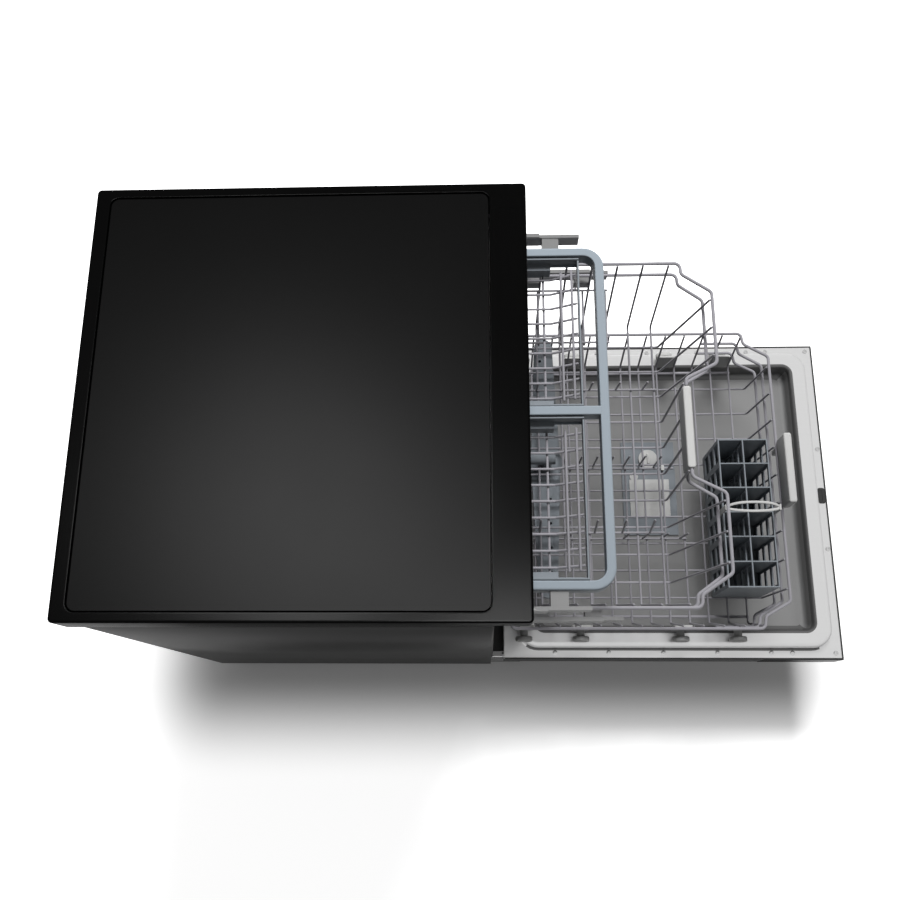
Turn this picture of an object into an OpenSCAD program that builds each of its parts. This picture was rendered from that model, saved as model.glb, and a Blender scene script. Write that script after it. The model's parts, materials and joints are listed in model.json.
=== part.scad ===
// Freestanding dishwasher with three pull-out racks.
// It is drawn with its door down and the racks out.
// The front faces -Y, the floor is Z = 0, and X = 0 is the middle of the machine.

/* [Cabinet] */
// Width of the worktop and of the door
cabinet_w = 598; // [580:1:610]
// Depth of the worktop
top_d = 595; // [580:1:620]
// Height of the machine
cabinet_h = 845; // [840:1:860]
// Depth of the worktop's side skirts
skirt_h = 50; // [42:1:54]
// Depth of the worktop's front lip
lip_h = 30; // [24:1:32]
// Width of the border in front of the sunk panel
border_front = 50; // [40:1:70]
// Width of the border behind the sunk panel
border_rear = 20; // [14:1:30]
// Width of the border beside the sunk panel
border_side = 13.5; // [10:0.5:20]
// How far the panel lies below its border
panel_sink = 2; // [1:0.5:3]
// Thickness of the worktop's panel
panel_t = 4; // [3:0.5:5]
// How far the side panels stand in from the worktop's edge
side_inset = 4; // [2:0.5:6]
// How far the rear panel stands in from the worktop's edge
rear_inset = 11.5; // [8:0.5:16]
// Thickness of the sheet metal
sheet = 1; // [0.8:0.1:1.2]
// Height of the side panels' lower edge
panel_foot_z = 70; // [64:1:80]
// Width of the sheets' folded edges
fold_w = 12; // [8:1:14]

/* [Base] */
// Height of the base tray's underside
base_z = 25; // [20:1:30]
// Height of the base tray's rim
base_rim_z = 68; // [60:1:69]
// Wall of the moulded base
base_wall = 3; // [2.5:0.5:4]
// Radius of a foot
foot_r = 19; // [15:1:22]
// Radius of a foot's stem
foot_stem_r = 5; // [4:0.5:6]
// Distance of a foot from the sides of the base
foot_in = 40; // [36:1:60]
// Height of the kick panel's upper edge
kick_top_z = 186; // [170:1:188]
// How far the kick panel stands behind the worktop's front edge
kick_back = -8; // [-12:1:4]

/* [Tub] */
// Half the width of the tub's inside
tub_half_w = 275; // [273:1:277]
// Height of the tub's floor
tub_floor_z = 241; // [238:1:244]
// Height of the tub's ceiling
tub_top_z = 765; // [762:1:768]
// How far the tub's back wall stands in from the rear panel
tub_back_in = 15; // [12:1:18]
// Depth of the wider collar that takes the door's raised part
collar_d = 24; // [22:1:26]
// Clearance of the collar round the door's raised part
collar_gap = 4; // [3:0.5:6]
// Height of the ledges on which the lower rack rolls
ledge_top_z = 262.5; // [262:0.1:262.6]
// Width of those ledges
ledge_w = 26; // [22:1:28]
// Thickness of those ledges
ledge_t = 7; // [5:0.5:8]
// Radius of the sump's flange
sump_r = 110; // [100:1:118]
// Depth of the sump
sump_h = 85; // [70:1:95]
// Radius of the filter cylinder
filter_r = 38; // [32:1:42]
// How far the filter stands beside the spray arm's hub
filter_x = 58; // [55:1:62]
// Length of the lower spray arm
lower_arm_l = 470; // [400:2:480]
// Length of the upper spray arm
upper_arm_l = 440; // [380:2:450]
// Thickness of a spray arm
arm_t = 14; // [12:1:16]

/* [Door] */
// Length of the door from its pivot to its free end
door_l = 594; // [588:1:600]
// Height of the pivot above the floor
pivot_z = 218; // [214:1:220]
// How far the pivot stands behind the worktop's front edge
pivot_in = 19.5; // [16:0.5:24]
// How far the door reaches behind its pivot
door_heel = 8; // [4:1:10]
// Height of the door's inner face above its pivot, with the door down
flange_up = 25; // [24:0.5:27]
// Depth of the door's outer face below its pivot, with the door down
face_down = 25; // [22:0.5:27]
// Height of the liner's raised part
raised_h = 20; // [16:1:20]
// Start of the raised part, from the pivot
raised_start = 18; // [14:1:22]
// End of the raised part, from the pivot
raised_end = 574; // [560:1:575]
// Half the width of the raised part
raised_half_w = 280; // [278:1:282]
// Corner radius of the raised part
raised_r = 40; // [25:1:50]
// Start of the liner's recess, from the pivot
recess_start = 52; // [46:1:70]
// End of the recess, from the pivot
recess_end = 541; // [530:1:548]
// Half the width of the recess
recess_half_w = 248; // [240:1:256]
// Depth of the recess
recess_h = 38; // [30:1:41]
// Corner radius of the recess
recess_r = 18; // [12:1:35]
// Length of the control panel
control_l = 139; // [120:1:160]
// Wall of the control panel's moulding
control_wall = 2.5; // [2:0.5:3.5]
// Radius of a push button
button_r = 9; // [7:0.5:11]
// Travel of a push button
button_travel = 2; // [1:0.5:2.5]
// Radius of the hinge pin
hinge_pin_r = 5; // [4:0.5:6]

/* [Racks] */
// Radius of the thick rack wires
wire_r = 2.6; // [2:0.1:3]
// Radius of the thin rack wires
thin_r = 1.8; // [1.4:0.1:2]
// Distance from the tray's front to the worktop's front edge
tray_out = 113.5; // [90:0.5:120]
// Half the width of the tray
tray_half_w = 247; // [242:1:249]
// Length of the tray
tray_l = 465; // [430:5:470]
// Height of the tray's upper edge
tray_top_z = 755; // [752:1:756]
// Depth of the tray's rim
tray_skirt = 24; // [20:1:26]
// Width of the tray's rim and middle bar
tray_band = 13; // [11:0.5:16]
// Distance from the middle rack's front to the worktop's front edge
middle_out = 286; // [240:1:290]
// Height of the middle rack's rim
middle_rim_z = 675; // [660:1:680]
// Height of the middle rack's floor wires
middle_base_z = 496; // [492:1:504]
// Half the width of the middle rack's rim
middle_half_w = 260; // [256:1:260]
// Length of the middle rack
middle_l = 465; // [440:5:470]
// Distance from the lower rack's front to the worktop's front edge
lower_out = 445; // [400:1:446]
// Height of the lower rack's rim
lower_rim_z = 400; // [380:1:404]
// Height of the lower rack's floor wires
lower_base_z = 292; // [288:1:300]
// Half the width of the lower rack's rim
lower_half_w = 260; // [256:1:260]
// Length of the lower rack
lower_l = 465; // [440:5:470]
// Radius of the lower rack's wheels
wheel_r = 15; // [13:0.5:15]
// Width of a wheel
wheel_w = 9; // [8:0.5:10]
// Travel of the tray
tray_travel = 195; // [170:1:196]
// Travel of the middle rack
middle_travel = 365; // [330:1:366]

/* [Basket] */
// Length of the cutlery basket
basket_l = 254; // [200:2:260]
// Depth of the cutlery basket
basket_d = 84; // [70:1:86]
// Height of the cutlery basket
basket_h = 122; // [100:1:126]
// Distance of the basket's middle from the middle of the machine
basket_x = -68; // [-80:1:-56]
// Wall of the basket's moulding
basket_wall = 2.4; // [2:0.2:3]

/* [Hidden] */
$fn = 32;

// Running clearance of a pin in its bore, and the gap between pieces that slide past
pin_gap = 0.06;
slide_gap = 0.4;
// Hairline between welded wires and between seated pieces
weld = 0.02;

// Sides, front and back of the machine
half_w = cabinet_w / 2;
door_out = door_l - pivot_in;
front_y = (door_out - top_d) / 2;
rear_y = front_y + top_d;
pivot_y = front_y + pivot_in;
side_x = half_w - side_inset;
rear_panel_y = rear_y - rear_inset;
face_gap = 3;
face_y = pivot_y + flange_up + face_gap;
top_under_z = cabinet_h - skirt_h;
lip_under_z = cabinet_h - lip_h;
frame_wall = 4;
frame_top_t = 9;
frame_r = 6;
door_half_w = half_w - 0.5;
tub_back_y = rear_panel_y - tub_back_in;
middle_y = (face_y + tub_back_y) / 2;

// Colours
black = [0.05, 0.05, 0.05];
dark = [0.16, 0.16, 0.17];
steel = [0.78, 0.79, 0.8];
wire_grey = [0.5, 0.5, 0.53];
tray_blue = [0.64, 0.7, 0.74];
light_grey = [0.79, 0.78, 0.76];
plastic_grey = [0.6, 0.61, 0.63];

// Points of a rectangle with round corners, centred on the origin
function corner(cx, cy, r, from) = [for (a = [from : 15 : from + 90]) [cx + r * cos(a), cy + r * sin(a)]];
function round_rect(w, h, r) = concat(
    corner(w / 2 - r, h / 2 - r, r, 0), corner(r - w / 2, h / 2 - r, r, 90),
    corner(r - w / 2, r - h / 2, r, 180), corner(w / 2 - r, r - h / 2, r, 270));

// Upright plate with round corners, from z0 to z1, between two values of x and of y
module plate(x, y, z, r = 3) {
    translate([(x[0] + x[1]) / 2, (y[0] + y[1]) / 2, z[0]])
        linear_extrude(z[1] - z[0]) polygon(round_rect(x[1] - x[0], y[1] - y[0], r));
}

// Box between two values of x, y and z
module block(x, y, z) {
    translate([x[0], y[0], z[0]]) cube([x[1] - x[0], y[1] - y[0], z[1] - z[0]]);
}

// The same on both sides of the machine
module both_sides() {
    children();
    mirror([1, 0, 0]) children();
}

// Cylinder along X, centred on a point
module x_cylinder(p, r, l) translate(p) rotate([0, 90, 0]) cylinder(r = r, h = l, center = true);

// Cylinder along Y, from a point towards +Y
module y_cylinder(p, r, l) translate(p) rotate([-90, 0, 0]) cylinder(r = r, h = l);

// Straight wire between two points
module rod(a, b, r) {
    d = b - a;
    l = norm(d);
    translate(a) rotate([0, acos(d[2] / l), atan2(d[1], d[0])]) cylinder(r = r, h = l, $fn = 16);
}

function unit(v) = v / norm(v);
function turn_at(a, b, c) = 180 - acos(unit(a - b) * unit(c - b));
function trim_at(p, i, bend) =
    (i == 0 || i == len(p) - 1) ? 0 : bend * tan(turn_at(p[i - 1], p[i], p[i + 1]) / 2) + weld;

// Round bend of a wire at b, on its way from a to c
module wire_bend(a, b, c, r, bend) {
    u = unit(a - b);
    v = unit(c - b);
    turn = turn_at(a, b, c);
    centre = b + unit(u + v) * bend / cos(turn / 2);
    x = unit(b + u * bend * tan(turn / 2) - centre);
    z = unit(cross(v, u));
    y = cross(z, x);
    multmatrix([
        [x[0], y[0], z[0], centre[0]], [x[1], y[1], z[1], centre[1]],
        [x[2], y[2], z[2], centre[2]], [0, 0, 0, 1]])
        rotate_extrude(angle = turn) translate([bend, 0]) circle(r = r, $fn = 16);
}

// Wire along a list of points, with a round bend at each inner point
module bent_wire(p, r, bend) {
    for (i = [0 : len(p) - 2]) {
        d = unit(p[i + 1] - p[i]);
        rod(p[i] + d * trim_at(p, i, bend), p[i + 1] - d * trim_at(p, i + 1, bend), r);
    }
    for (i = [1 : 1 : len(p) - 2]) wire_bend(p[i - 1], p[i], p[i + 1], r, bend);
}

// Distance between the axes of a thick and a thin wire welded side by side, and the thin wires' bend
wire_step = wire_r + thin_r + 2 * weld;
thin_bend = 6;
rim_bend = 9;

// The points below are pairs: distance from the middle, height
function across(d) = [-d[1], d[0]];
function past(f, t) = t + unit(t - f) * thin_r;
// End of a thin wire that starts at f and passes the thick wire at c on side s
function wire_end(f, c, s) = past(f, c + s * across(unit(c - f)) * wire_step);
// Place of the thin wire from f to t at height z
function wire_at(f, t, z) = f[0] + (t[0] - f[0]) * (z - f[1]) / (t[1] - f[1]);
// Place of a thick wire at height z that lies against the thin wire from f to t
function seat_at(f, t, z, s) = wire_at(f, t, z) + s * wire_step * norm(t - f) / (t[1] - f[1]);

// Values from first to last in equal steps, both ends included
function spread(first, last, count) = [for (i = [0 : count - 1]) first + (last - first) * i / (count - 1)];

// Worktop

panel_gap = 1;
panel_y0 = front_y + border_front;
panel_y1 = rear_y - border_rear;
panel_x = half_w - border_side;
panel_r = 12;
skirt_y0 = face_y + 2;

module worktop_frame() color(black) difference() {
    union() {
        plate([-half_w, half_w], [front_y, rear_y], [lip_under_z, cabinet_h], frame_r);
        block([-half_w, half_w], [skirt_y0, rear_y], [top_under_z, lip_under_z + 1]);
    }
    block([-half_w + frame_wall - 1, half_w - frame_wall + 1],
        [front_y + frame_wall, rear_y - frame_wall], [top_under_z - 1, cabinet_h - frame_top_t]);
    plate([-panel_x, panel_x], [panel_y0, panel_y1],
        [cabinet_h - panel_sink - panel_t - weld, cabinet_h + 1], panel_r);
}

module worktop_panel() color(dark)
    plate([panel_gap - panel_x, panel_x - panel_gap], [panel_y0 + panel_gap, panel_y1 - panel_gap],
        [cabinet_h - panel_sink - panel_t, cabinet_h - panel_sink], panel_r - panel_gap);

// Casing

panel_top_z = cabinet_h - frame_top_t - weld;

module side_panel() {
    block([side_x - sheet, side_x], [face_y, rear_panel_y], [panel_foot_z, panel_top_z]);
    block([collar_x + sheet + slide_gap, side_x - sheet], [face_y, face_y + sheet], [collar_z0, panel_top_z]);
}

module side_panel_left() color(dark) mirror([1, 0, 0]) side_panel();
module side_panel_right() color(dark) side_panel();

rear_gap = 0.5;

module rear_panel() color(dark) difference() {
    union() {
        block([rear_gap + sheet - side_x, side_x - sheet - rear_gap],
            [rear_panel_y - sheet, rear_panel_y], [panel_foot_z, panel_top_z]);
        both_sides() block([side_x - sheet - rear_gap - sheet, side_x - sheet - rear_gap],
            [rear_panel_y - fold_w, rear_panel_y], [panel_foot_z, panel_top_z]);
    }
    y_cylinder([inlet_x, rear_panel_y - 2 * fold_w, inlet_z], inlet_hole_r, 4 * fold_w);
    y_cylinder([drain_x, rear_panel_y - 2 * fold_w, inlet_z], inlet_hole_r, 4 * fold_w);
}

// Base

base_out = 5;
base_x = side_x - sheet - base_out;
base_y0 = face_y + 6;
base_y1 = rear_panel_y - sheet - 2;
foot_xs = [-1, 1];
foot_ys = [base_y0 + foot_in, base_y1 - foot_in];
foot_h = 9;
boss_r = foot_stem_r + 6;
boss_h = 30;
base_r = 8;
// Rails along the base that carry the side panels
base_rail_in = 30;
base_rail_h = 12;

module base_tray() color(black) difference() {
    union() {
        difference() {
            plate([-base_x, base_x], [base_y0, base_y1], [base_z, base_rim_z], base_r);
            plate([base_wall - base_x, base_x - base_wall], [base_y0 + base_wall, base_y1 - base_wall],
                [base_z + base_wall, base_rim_z + 1], base_r - base_wall);
        }
        for (s = foot_xs, y = foot_ys)
            translate([s * (base_x - foot_in), y, base_z + 1]) cylinder(r = boss_r, h = boss_h);
        both_sides() block([base_x - base_r, base_x + base_out - weld],
            [base_y0 + base_rail_in, base_y1 - base_rail_in], [base_rim_z - base_rail_h, base_rim_z]);
        both_sides() block([base_x + base_out - 1, base_x + base_out - weld],
            [base_y0 + base_rail_in, base_y1 - base_rail_in], [base_rim_z - base_rail_h, panel_foot_z + 20]);
    }
    for (s = foot_xs, y = foot_ys)
        translate([s * (base_x - foot_in), y, base_z - 1])
            cylinder(r = foot_stem_r + pin_gap, h = boss_h + 10);
}

module feet() color(black) for (s = foot_xs, y = foot_ys) translate([s * (base_x - foot_in), y, 0]) {
    cylinder(r = foot_r, h = foot_h);
    cylinder(r = foot_stem_r, h = base_z + 28);
    cylinder(r = foot_stem_r + 4, h = base_z - slide_gap);
}

kick_y = front_y + kick_back;
kick_x = side_x - sheet - 4;
kick_z = base_z + 35;
hinge_slot_z = kick_z + 40;
hinge_slot_y = pivot_y - 12;

module kick_panel() color(black) difference() {
    block([-kick_x, kick_x], [kick_y, base_y0 - weld], [kick_z, kick_top_z]);
    block([base_wall - kick_x, kick_x - base_wall], [kick_y + base_wall, base_y0 + 1],
        [kick_z - 1, kick_top_z - base_wall]);
    block([-hinge_out_x - 1, -hinge_in_x + 1], [hinge_slot_y, base_y0 + 1], [hinge_slot_z, kick_top_z + 1]);
    block([hinge_in_x - 1, hinge_out_x + 1], [hinge_slot_y, base_y0 + 1], [hinge_slot_z, kick_top_z + 1]);
}

counterweight_h = 45;

module counterweight() color(dark)
    block([inlet_x + 25, drain_x - 25], [base_y1 - 100, base_y1 - 15],
        [base_z + base_wall + weld, base_z + base_wall + counterweight_h]);

// Tub

collar_x = raised_half_w + collar_gap;
collar_z0 = pivot_z + raised_start - collar_gap;
collar_z1 = pivot_z + raised_end + collar_gap;
collar_y1 = face_y + collar_d;

tub_r = 13;

module tub_box(x, y, z, r) {
    translate([0, y[1], (z[0] + z[1]) / 2]) rotate([90, 0, 0])
        linear_extrude(y[1] - y[0]) polygon(round_rect(2 * x, z[1] - z[0], r));
}

module tub() color(steel) difference() {
    union() {
        tub_box(tub_half_w + sheet, [face_y + sheet, tub_back_y + sheet],
            [tub_floor_z - sheet, tub_top_z + sheet], tub_r + sheet);
        tub_box(collar_x + sheet, [face_y, collar_y1 + sheet],
            [collar_z0 - sheet, collar_z1 + sheet], tub_r + sheet);
    }
    tub_box(tub_half_w, [face_y - 1, tub_back_y], [tub_floor_z, tub_top_z], tub_r);
    tub_box(collar_x, [face_y - 1, collar_y1], [collar_z0, collar_z1], tub_r);
    translate([0, middle_y, tub_floor_z - 10]) cylinder(r = sump_r - 8, h = 20, $fn = 64);
    translate([salt_x, salt_y, tub_floor_z - 10]) cylinder(r = salt_neck_r + slide_gap, h = 20);
}

gasket_t = 6;

module tub_gasket() color(dark) difference() {
    tub_box(collar_x - weld, [collar_y1 - gasket_t, collar_y1 - weld],
        [collar_z0 + weld, collar_z1 - weld], tub_r);
    tub_box(tub_half_w, [collar_y1 - gasket_t - 1, collar_y1 + 1], [tub_floor_z, tub_top_z], tub_r - 1);
}

// Crossbar above the door, with the hook that the door's latch grips
hook_half_w = 5;
hook_t = 3;
hook_y = pivot_y + 6;
hook_u = door_l - 11.5;

module front_crossbar() color(steel) {
    block([sheet + weld - side_x, side_x - sheet - weld], [face_y + sheet + weld, face_y + 2 * sheet + weld],
        [collar_z1 + 2 * sheet, panel_top_z - weld]);
    block([-hook_half_w, hook_half_w], [hook_y, face_y + 2 * sheet],
        [pivot_z + hook_u - hook_t / 2, pivot_z + hook_u + hook_t / 2]);
}

// Sump, filters and water treatment

sump_wall = 3;
sump_z = tub_floor_z - sheet - sump_h;
filter_top_z = tub_floor_z + 9;

module sump() color(dark) difference() {
    translate([0, middle_y, 0]) {
        translate([0, 0, tub_floor_z - sheet - 4]) cylinder(r = sump_r, h = 4 - weld, $fn = 64);
        translate([0, 0, sump_z]) cylinder(r = sump_r - 12, h = sump_h - 2, $fn = 64);
    }
    translate([0, middle_y, sump_z + sump_wall]) cylinder(r = sump_r - 15, h = sump_h, $fn = 64);
    y_cylinder([pump_x, middle_y - sump_r - 10, pump_z], pipe_r, 60);
    y_cylinder([drain_x, middle_y + 20, pump_z], drain_pipe_r, sump_r);
}

hub_r = 16;
hub_neck_r = 9;

module filter_plate() color(steel) translate([0, middle_y, 0]) difference() {
    translate([0, 0, tub_floor_z + weld]) cylinder(r = sump_r - 4, h = 2, $fn = 64);
    translate([0, 0, tub_floor_z - 1]) cylinder(r = hub_r + slide_gap, h = 5);
    translate([filter_x, 0, tub_floor_z - 1]) cylinder(r = filter_r + slide_gap, h = 5);
    for (a = [75 : 15 : 285]) rotate(a) translate([sump_r * 0.65, 0, tub_floor_z - 1])
        cylinder(r = 4, h = 5, $fn = 16);
}

module cylinder_filter() color(plastic_grey) translate([filter_x, middle_y, 0]) {
    difference() {
        translate([0, 0, sump_z + sump_wall + slide_gap]) cylinder(r = filter_r - 1, h = sump_h);
        translate([0, 0, sump_z + sump_wall + 4]) cylinder(r = filter_r - 4, h = sump_h + 20);
    }
    difference() {
        translate([0, 0, tub_floor_z + 2 + slide_gap]) cylinder(r = filter_r + 4, h = 4);
        translate([0, 0, tub_floor_z]) cylinder(r = filter_r - 4, h = 20);
    }
    block([2 - filter_r, filter_r - 2], [-3, 3], [tub_floor_z + 2 + slide_gap, filter_top_z]);
}

salt_x = -150;
salt_y = face_y + 170;
salt_neck_r = 30;
softener_h = 110;

module softener() color(plastic_grey) difference() {
    union() {
        block([salt_x - 60, salt_x + 38], [salt_y - 60, salt_y + 60],
            [tub_floor_z - sheet - softener_h, tub_floor_z - sheet - 6]);
        translate([salt_x, salt_y, tub_floor_z - sheet - 7]) cylinder(r = salt_neck_r, h = 9);
    }
    translate([salt_x, salt_y, tub_floor_z - softener_h + 3])
        cylinder(r = salt_neck_r - 4, h = softener_h + 9);
}

module salt_cap() color(light_grey) translate([salt_x, salt_y, 0]) {
    translate([0, 0, tub_floor_z + 1 + slide_gap]) cylinder(r = salt_neck_r + 3, h = 6);
    translate([0, 0, tub_floor_z - 12]) cylinder(r = salt_neck_r - 4 - pin_gap, h = 15);
    block([6 - salt_neck_r, salt_neck_r - 6], [-3, 3], [tub_floor_z + 2, tub_floor_z + 13]);
}

// Spray arms

lower_arm_z = tub_floor_z + 26;
nozzle_r = 2.5;
arm_hub_r = 28;
arm_root = 24;
arm_tip_r = 15;

module spray_arm(l) difference() {
    union() {
        for (a = [0, 180]) rotate(a) linear_extrude(arm_t)
            polygon(concat([[0, -arm_root]],
                [for (t = [-90 : 15 : 90]) [l / 2 - arm_tip_r + arm_tip_r * cos(t), arm_tip_r * sin(t)]],
                [[0, arm_root]]));
        cylinder(r = arm_hub_r, h = arm_t);
    }
    translate([0, 0, -1]) cylinder(r = hub_neck_r + pin_gap, h = arm_t + 2);
    for (a = [0, 180], x = [60 : 40 : l / 2 - 20])
        rotate(a) translate([x, 6, 2]) cylinder(r = nozzle_r, h = arm_t);
}

module spray_hub() color(plastic_grey) translate([0, middle_y, 0]) {
    translate([0, 0, sump_z + sump_wall + weld])
        cylinder(r = hub_r, h = lower_arm_z - slide_gap - sump_z - sump_wall);
    translate([0, 0, lower_arm_z - 2]) cylinder(r = hub_neck_r, h = arm_t + 4);
    translate([0, 0, lower_arm_z + arm_t + slide_gap]) cylinder(r = hub_r, h = 4);
}

module lower_spray_arm() color(plastic_grey) translate([0, middle_y, lower_arm_z]) spray_arm(lower_arm_l);

middle_front_y = front_y - middle_out;
middle_rear_y = middle_front_y + middle_l;
upper_hub_y = middle_front_y + middle_l / 2 + 12.5;
upper_arm_z = middle_base_z - 2 * wire_r - 12 - arm_t;
feed_pipe_r = 9;

module upper_spray_arm() color(plastic_grey) translate([0, upper_hub_y, upper_arm_z]) spray_arm(upper_arm_l);

feed_z = middle_base_z + thin_r + weld + feed_pipe_r;

module upper_feed_pipe() color(plastic_grey) {
    difference() {
        y_cylinder([0, upper_hub_y - 14, feed_z], feed_pipe_r, middle_rear_y - upper_hub_y + 22);
        y_cylinder([0, upper_hub_y + 1, feed_z], feed_pipe_r - 2.5, middle_l);
    }
    translate([0, upper_hub_y, upper_arm_z - slide_gap - 4]) {
        cylinder(r = hub_r, h = 4);
        cylinder(r = hub_neck_r, h = feed_z - upper_arm_z - feed_pipe_r / 2);
    }
}

duct_half_w = 20;
duct_t = 11;

module feed_duct() color(plastic_grey) {
    difference() {
        block([-duct_half_w, duct_half_w], [tub_back_y - duct_t - weld, tub_back_y - weld],
            [tub_floor_z + 8, tub_top_z - 2]);
        y_cylinder([0, tub_back_y - duct_t - 1, feed_z], feed_pipe_r + 1, duct_t - 2);
    }
    block([-duct_half_w / 2, duct_half_w / 2], [middle_y, tub_back_y - duct_t],
        [tub_top_z - 6, tub_top_z - weld]);
    translate([0, middle_y, tub_top_z - 7]) cylinder(r = 40, h = 7 - weld);
}

// Pumps and water connections

pump_x = 40;
sump_bore_y = 84;
pump_z = sump_z + 22;
pipe_r = 15;
drain_pipe_r = 10;
inlet_x = -200;
drain_x = 90;
inlet_z = 110;
inlet_hole_r = 17;
inlet_r = 13.2;
inlet_reach = 11;

module circulation_pump() color(plastic_grey) {
    difference() {
        y_cylinder([pump_x, middle_y - sump_r + 1, pump_z], pipe_r - weld, sump_r - sump_bore_y);
        y_cylinder([pump_x, middle_y - sump_r, pump_z], pipe_r - 3, sump_r);
    }
    y_cylinder([pump_x, middle_y - sump_r - 30, pump_z - 6], 42, 32);
    y_cylinder([pump_x, middle_y - sump_r - 120, pump_z - 6], 36, 91);
}

module drain_pump() color(dark) {
    difference() {
        union() {
            y_cylinder([drain_x, middle_y + 44, pump_z], drain_pipe_r - weld, sump_r - 38);
            y_cylinder([drain_x, middle_y + sump_r, pump_z], 28, 60);
            y_cylinder([drain_x, middle_y + sump_r + 30, inlet_z], drain_pipe_r - 0.5,
                rear_panel_y + inlet_reach - middle_y - sump_r - 30);
            y_cylinder([drain_x, rear_panel_y - 20, inlet_z], inlet_hole_r - slide_gap, 20);
            block([drain_x - 6, drain_x + 6], [middle_y + sump_r + 35, middle_y + sump_r + 55],
                [inlet_z, pump_z]);
        }
        y_cylinder([drain_x, middle_y + 20, pump_z], drain_pipe_r - 3, sump_r - 20);
        y_cylinder([drain_x, rear_panel_y - 40, inlet_z], drain_pipe_r - 3, 80);
    }
    block([drain_x - 8, drain_x + 8], [middle_y + sump_r + 10, middle_y + sump_r + 50],
        [base_z + base_wall + weld, pump_z]);
}

module inlet_valve() color(light_grey) difference() {
    union() {
        block([inlet_x - 22, inlet_x + 22], [rear_panel_y - sheet - 50, rear_panel_y - sheet - weld],
            [inlet_z - 24, inlet_z + 24]);
        y_cylinder([inlet_x, rear_panel_y - 20, inlet_z], inlet_hole_r - slide_gap, 20);
        y_cylinder([inlet_x, rear_panel_y - 20, inlet_z], inlet_r, 20 + inlet_reach);
        block([inlet_x - 10, inlet_x + 10], [rear_panel_y - sheet - 45, rear_panel_y - sheet - 20],
            [base_z + base_wall + weld, inlet_z]);
    }
    y_cylinder([inlet_x, rear_panel_y - 30, inlet_z], inlet_r - 4, 80);
}

// Hinges

hinge_in_x = side_x - sheet - 13;
hinge_out_x = side_x - sheet - 2;
hinge_arm_t = 3;
hinge_arm_x = hinge_out_x - 6;
spring_z = 120;
spring_y = base_y0 + 240;

module hinge_brackets() color(steel) both_sides() {
    block([hinge_out_x - 2, hinge_out_x], [pivot_y - 8, base_y0 + 90], [base_z + 50, pivot_z - 8]);
    translate([hinge_out_x - 2, pivot_y, pivot_z]) rotate([0, 90, 0]) cylinder(r = 8, h = 2);
    block([hinge_out_x - 2, hinge_out_x], [pivot_y - 8, pivot_y + 8], [pivot_z - 9, pivot_z]);
    translate([hinge_arm_x - 2, pivot_y, pivot_z]) rotate([0, 90, 0])
        cylinder(r = hinge_pin_r, h = hinge_out_x - hinge_arm_x);
    block([hinge_out_x - 2, hinge_out_x], [base_y0 + 34, base_y0 + 90], [base_rim_z + weld, base_z + 51]);
}

module door_springs() color(steel) both_sides() {
    y_cylinder([hinge_in_x - 8, base_y0 + 70, spring_z], 8, 170);
    rod([hinge_in_x - 8, spring_y - 1, spring_z], [hinge_in_x - 8, rear_panel_y - sheet - weld, spring_z], 2);
    rod([hinge_in_x - 8, base_y0 + 71, spring_z], [hinge_in_x - 8, base_y0 + 40, spring_z], 2);
}

module hinge_arms() color(steel) both_sides() difference() {
    union() {
        x_cylinder([hinge_arm_x, pivot_y, pivot_z], 11, hinge_arm_t);
        block([hinge_arm_x - hinge_arm_t / 2, hinge_arm_x + hinge_arm_t / 2],
            [pivot_y - 60, pivot_y], [pivot_z - 10, pivot_z + 10]);
        block([hinge_arm_x - hinge_arm_t / 2, hinge_arm_x + hinge_arm_t / 2],
            [pivot_y - 60, pivot_y - 24], [pivot_z - 10, pivot_z + outer_top]);
        block([hinge_arm_x - 14, hinge_arm_x + hinge_arm_t / 2],
            [pivot_y - 60, pivot_y - 24], [pivot_z + outer_top - 2, pivot_z + outer_top]);
    }
    x_cylinder([hinge_arm_x, pivot_y, pivot_z], hinge_pin_r + pin_gap, 20);
}

// Rails, as telescopic sets of three: fixed to the tub, between, and on the rack

rail_x = tub_half_w - weld;
rail_t = 5;
rail_wall = 1.2;
rail_h = 30;
rail_l = 450;
tray_rail_z = tray_top_z - 34;
rack_rail_z = middle_rim_z - 70;
tray_front_y = front_y - tray_out;
rail_start_y = collar_y1 + 3;

// Channel open to -X, at the given x of its back
module rail_channel(x, y, z, h, t) {
    block([x - rail_wall, x], y, [z, z + h]);
    block([x - t, x], y, [z, z + rail_wall]);
    block([x - t, x], y, [z + h - rail_wall, z + h]);
}

// Two channels a side, and below them the ledge that the lower rack rolls on
module fixed_rails() color(steel) both_sides() {
    for (z = [tray_rail_z, rack_rail_z])
        rail_channel(rail_x, [rail_start_y, rail_start_y + rail_l], z, rail_h, rail_t);
    block([tub_half_w - ledge_w, rail_x], [rail_start_y, tub_back_y - ledge_t],
        [ledge_top_z - ledge_t, ledge_top_z]);
}

between_x = rail_x - rail_wall - slide_gap;
between_h = rail_h - 2 * rail_wall - 2 * slide_gap;

// The rail between stands out by half of its rack's travel
module middle_rail(z, travel) color(steel) both_sides()
    rail_channel(between_x, [rail_start_y - travel / 2, rail_start_y - travel / 2 + rail_l],
        z + rail_wall + slide_gap, between_h, rail_t + 1);

inner_x = between_x - rail_wall - slide_gap;
inner_h = between_h - 2 * rail_wall - 2 * slide_gap;

module inner_rail(y, z, reach_x) color(steel) both_sides() {
    zi = z + 2 * rail_wall + 2 * slide_gap;
    block([inner_x - rail_t, inner_x], y, [zi, zi + inner_h]);
    for (yb = spread(y[0] + 30, y[1] - 50, 4))
        block([reach_x, inner_x - rail_t + weld], [yb, yb + 24], [zi + 2, zi + inner_h - 2]);
}

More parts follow.
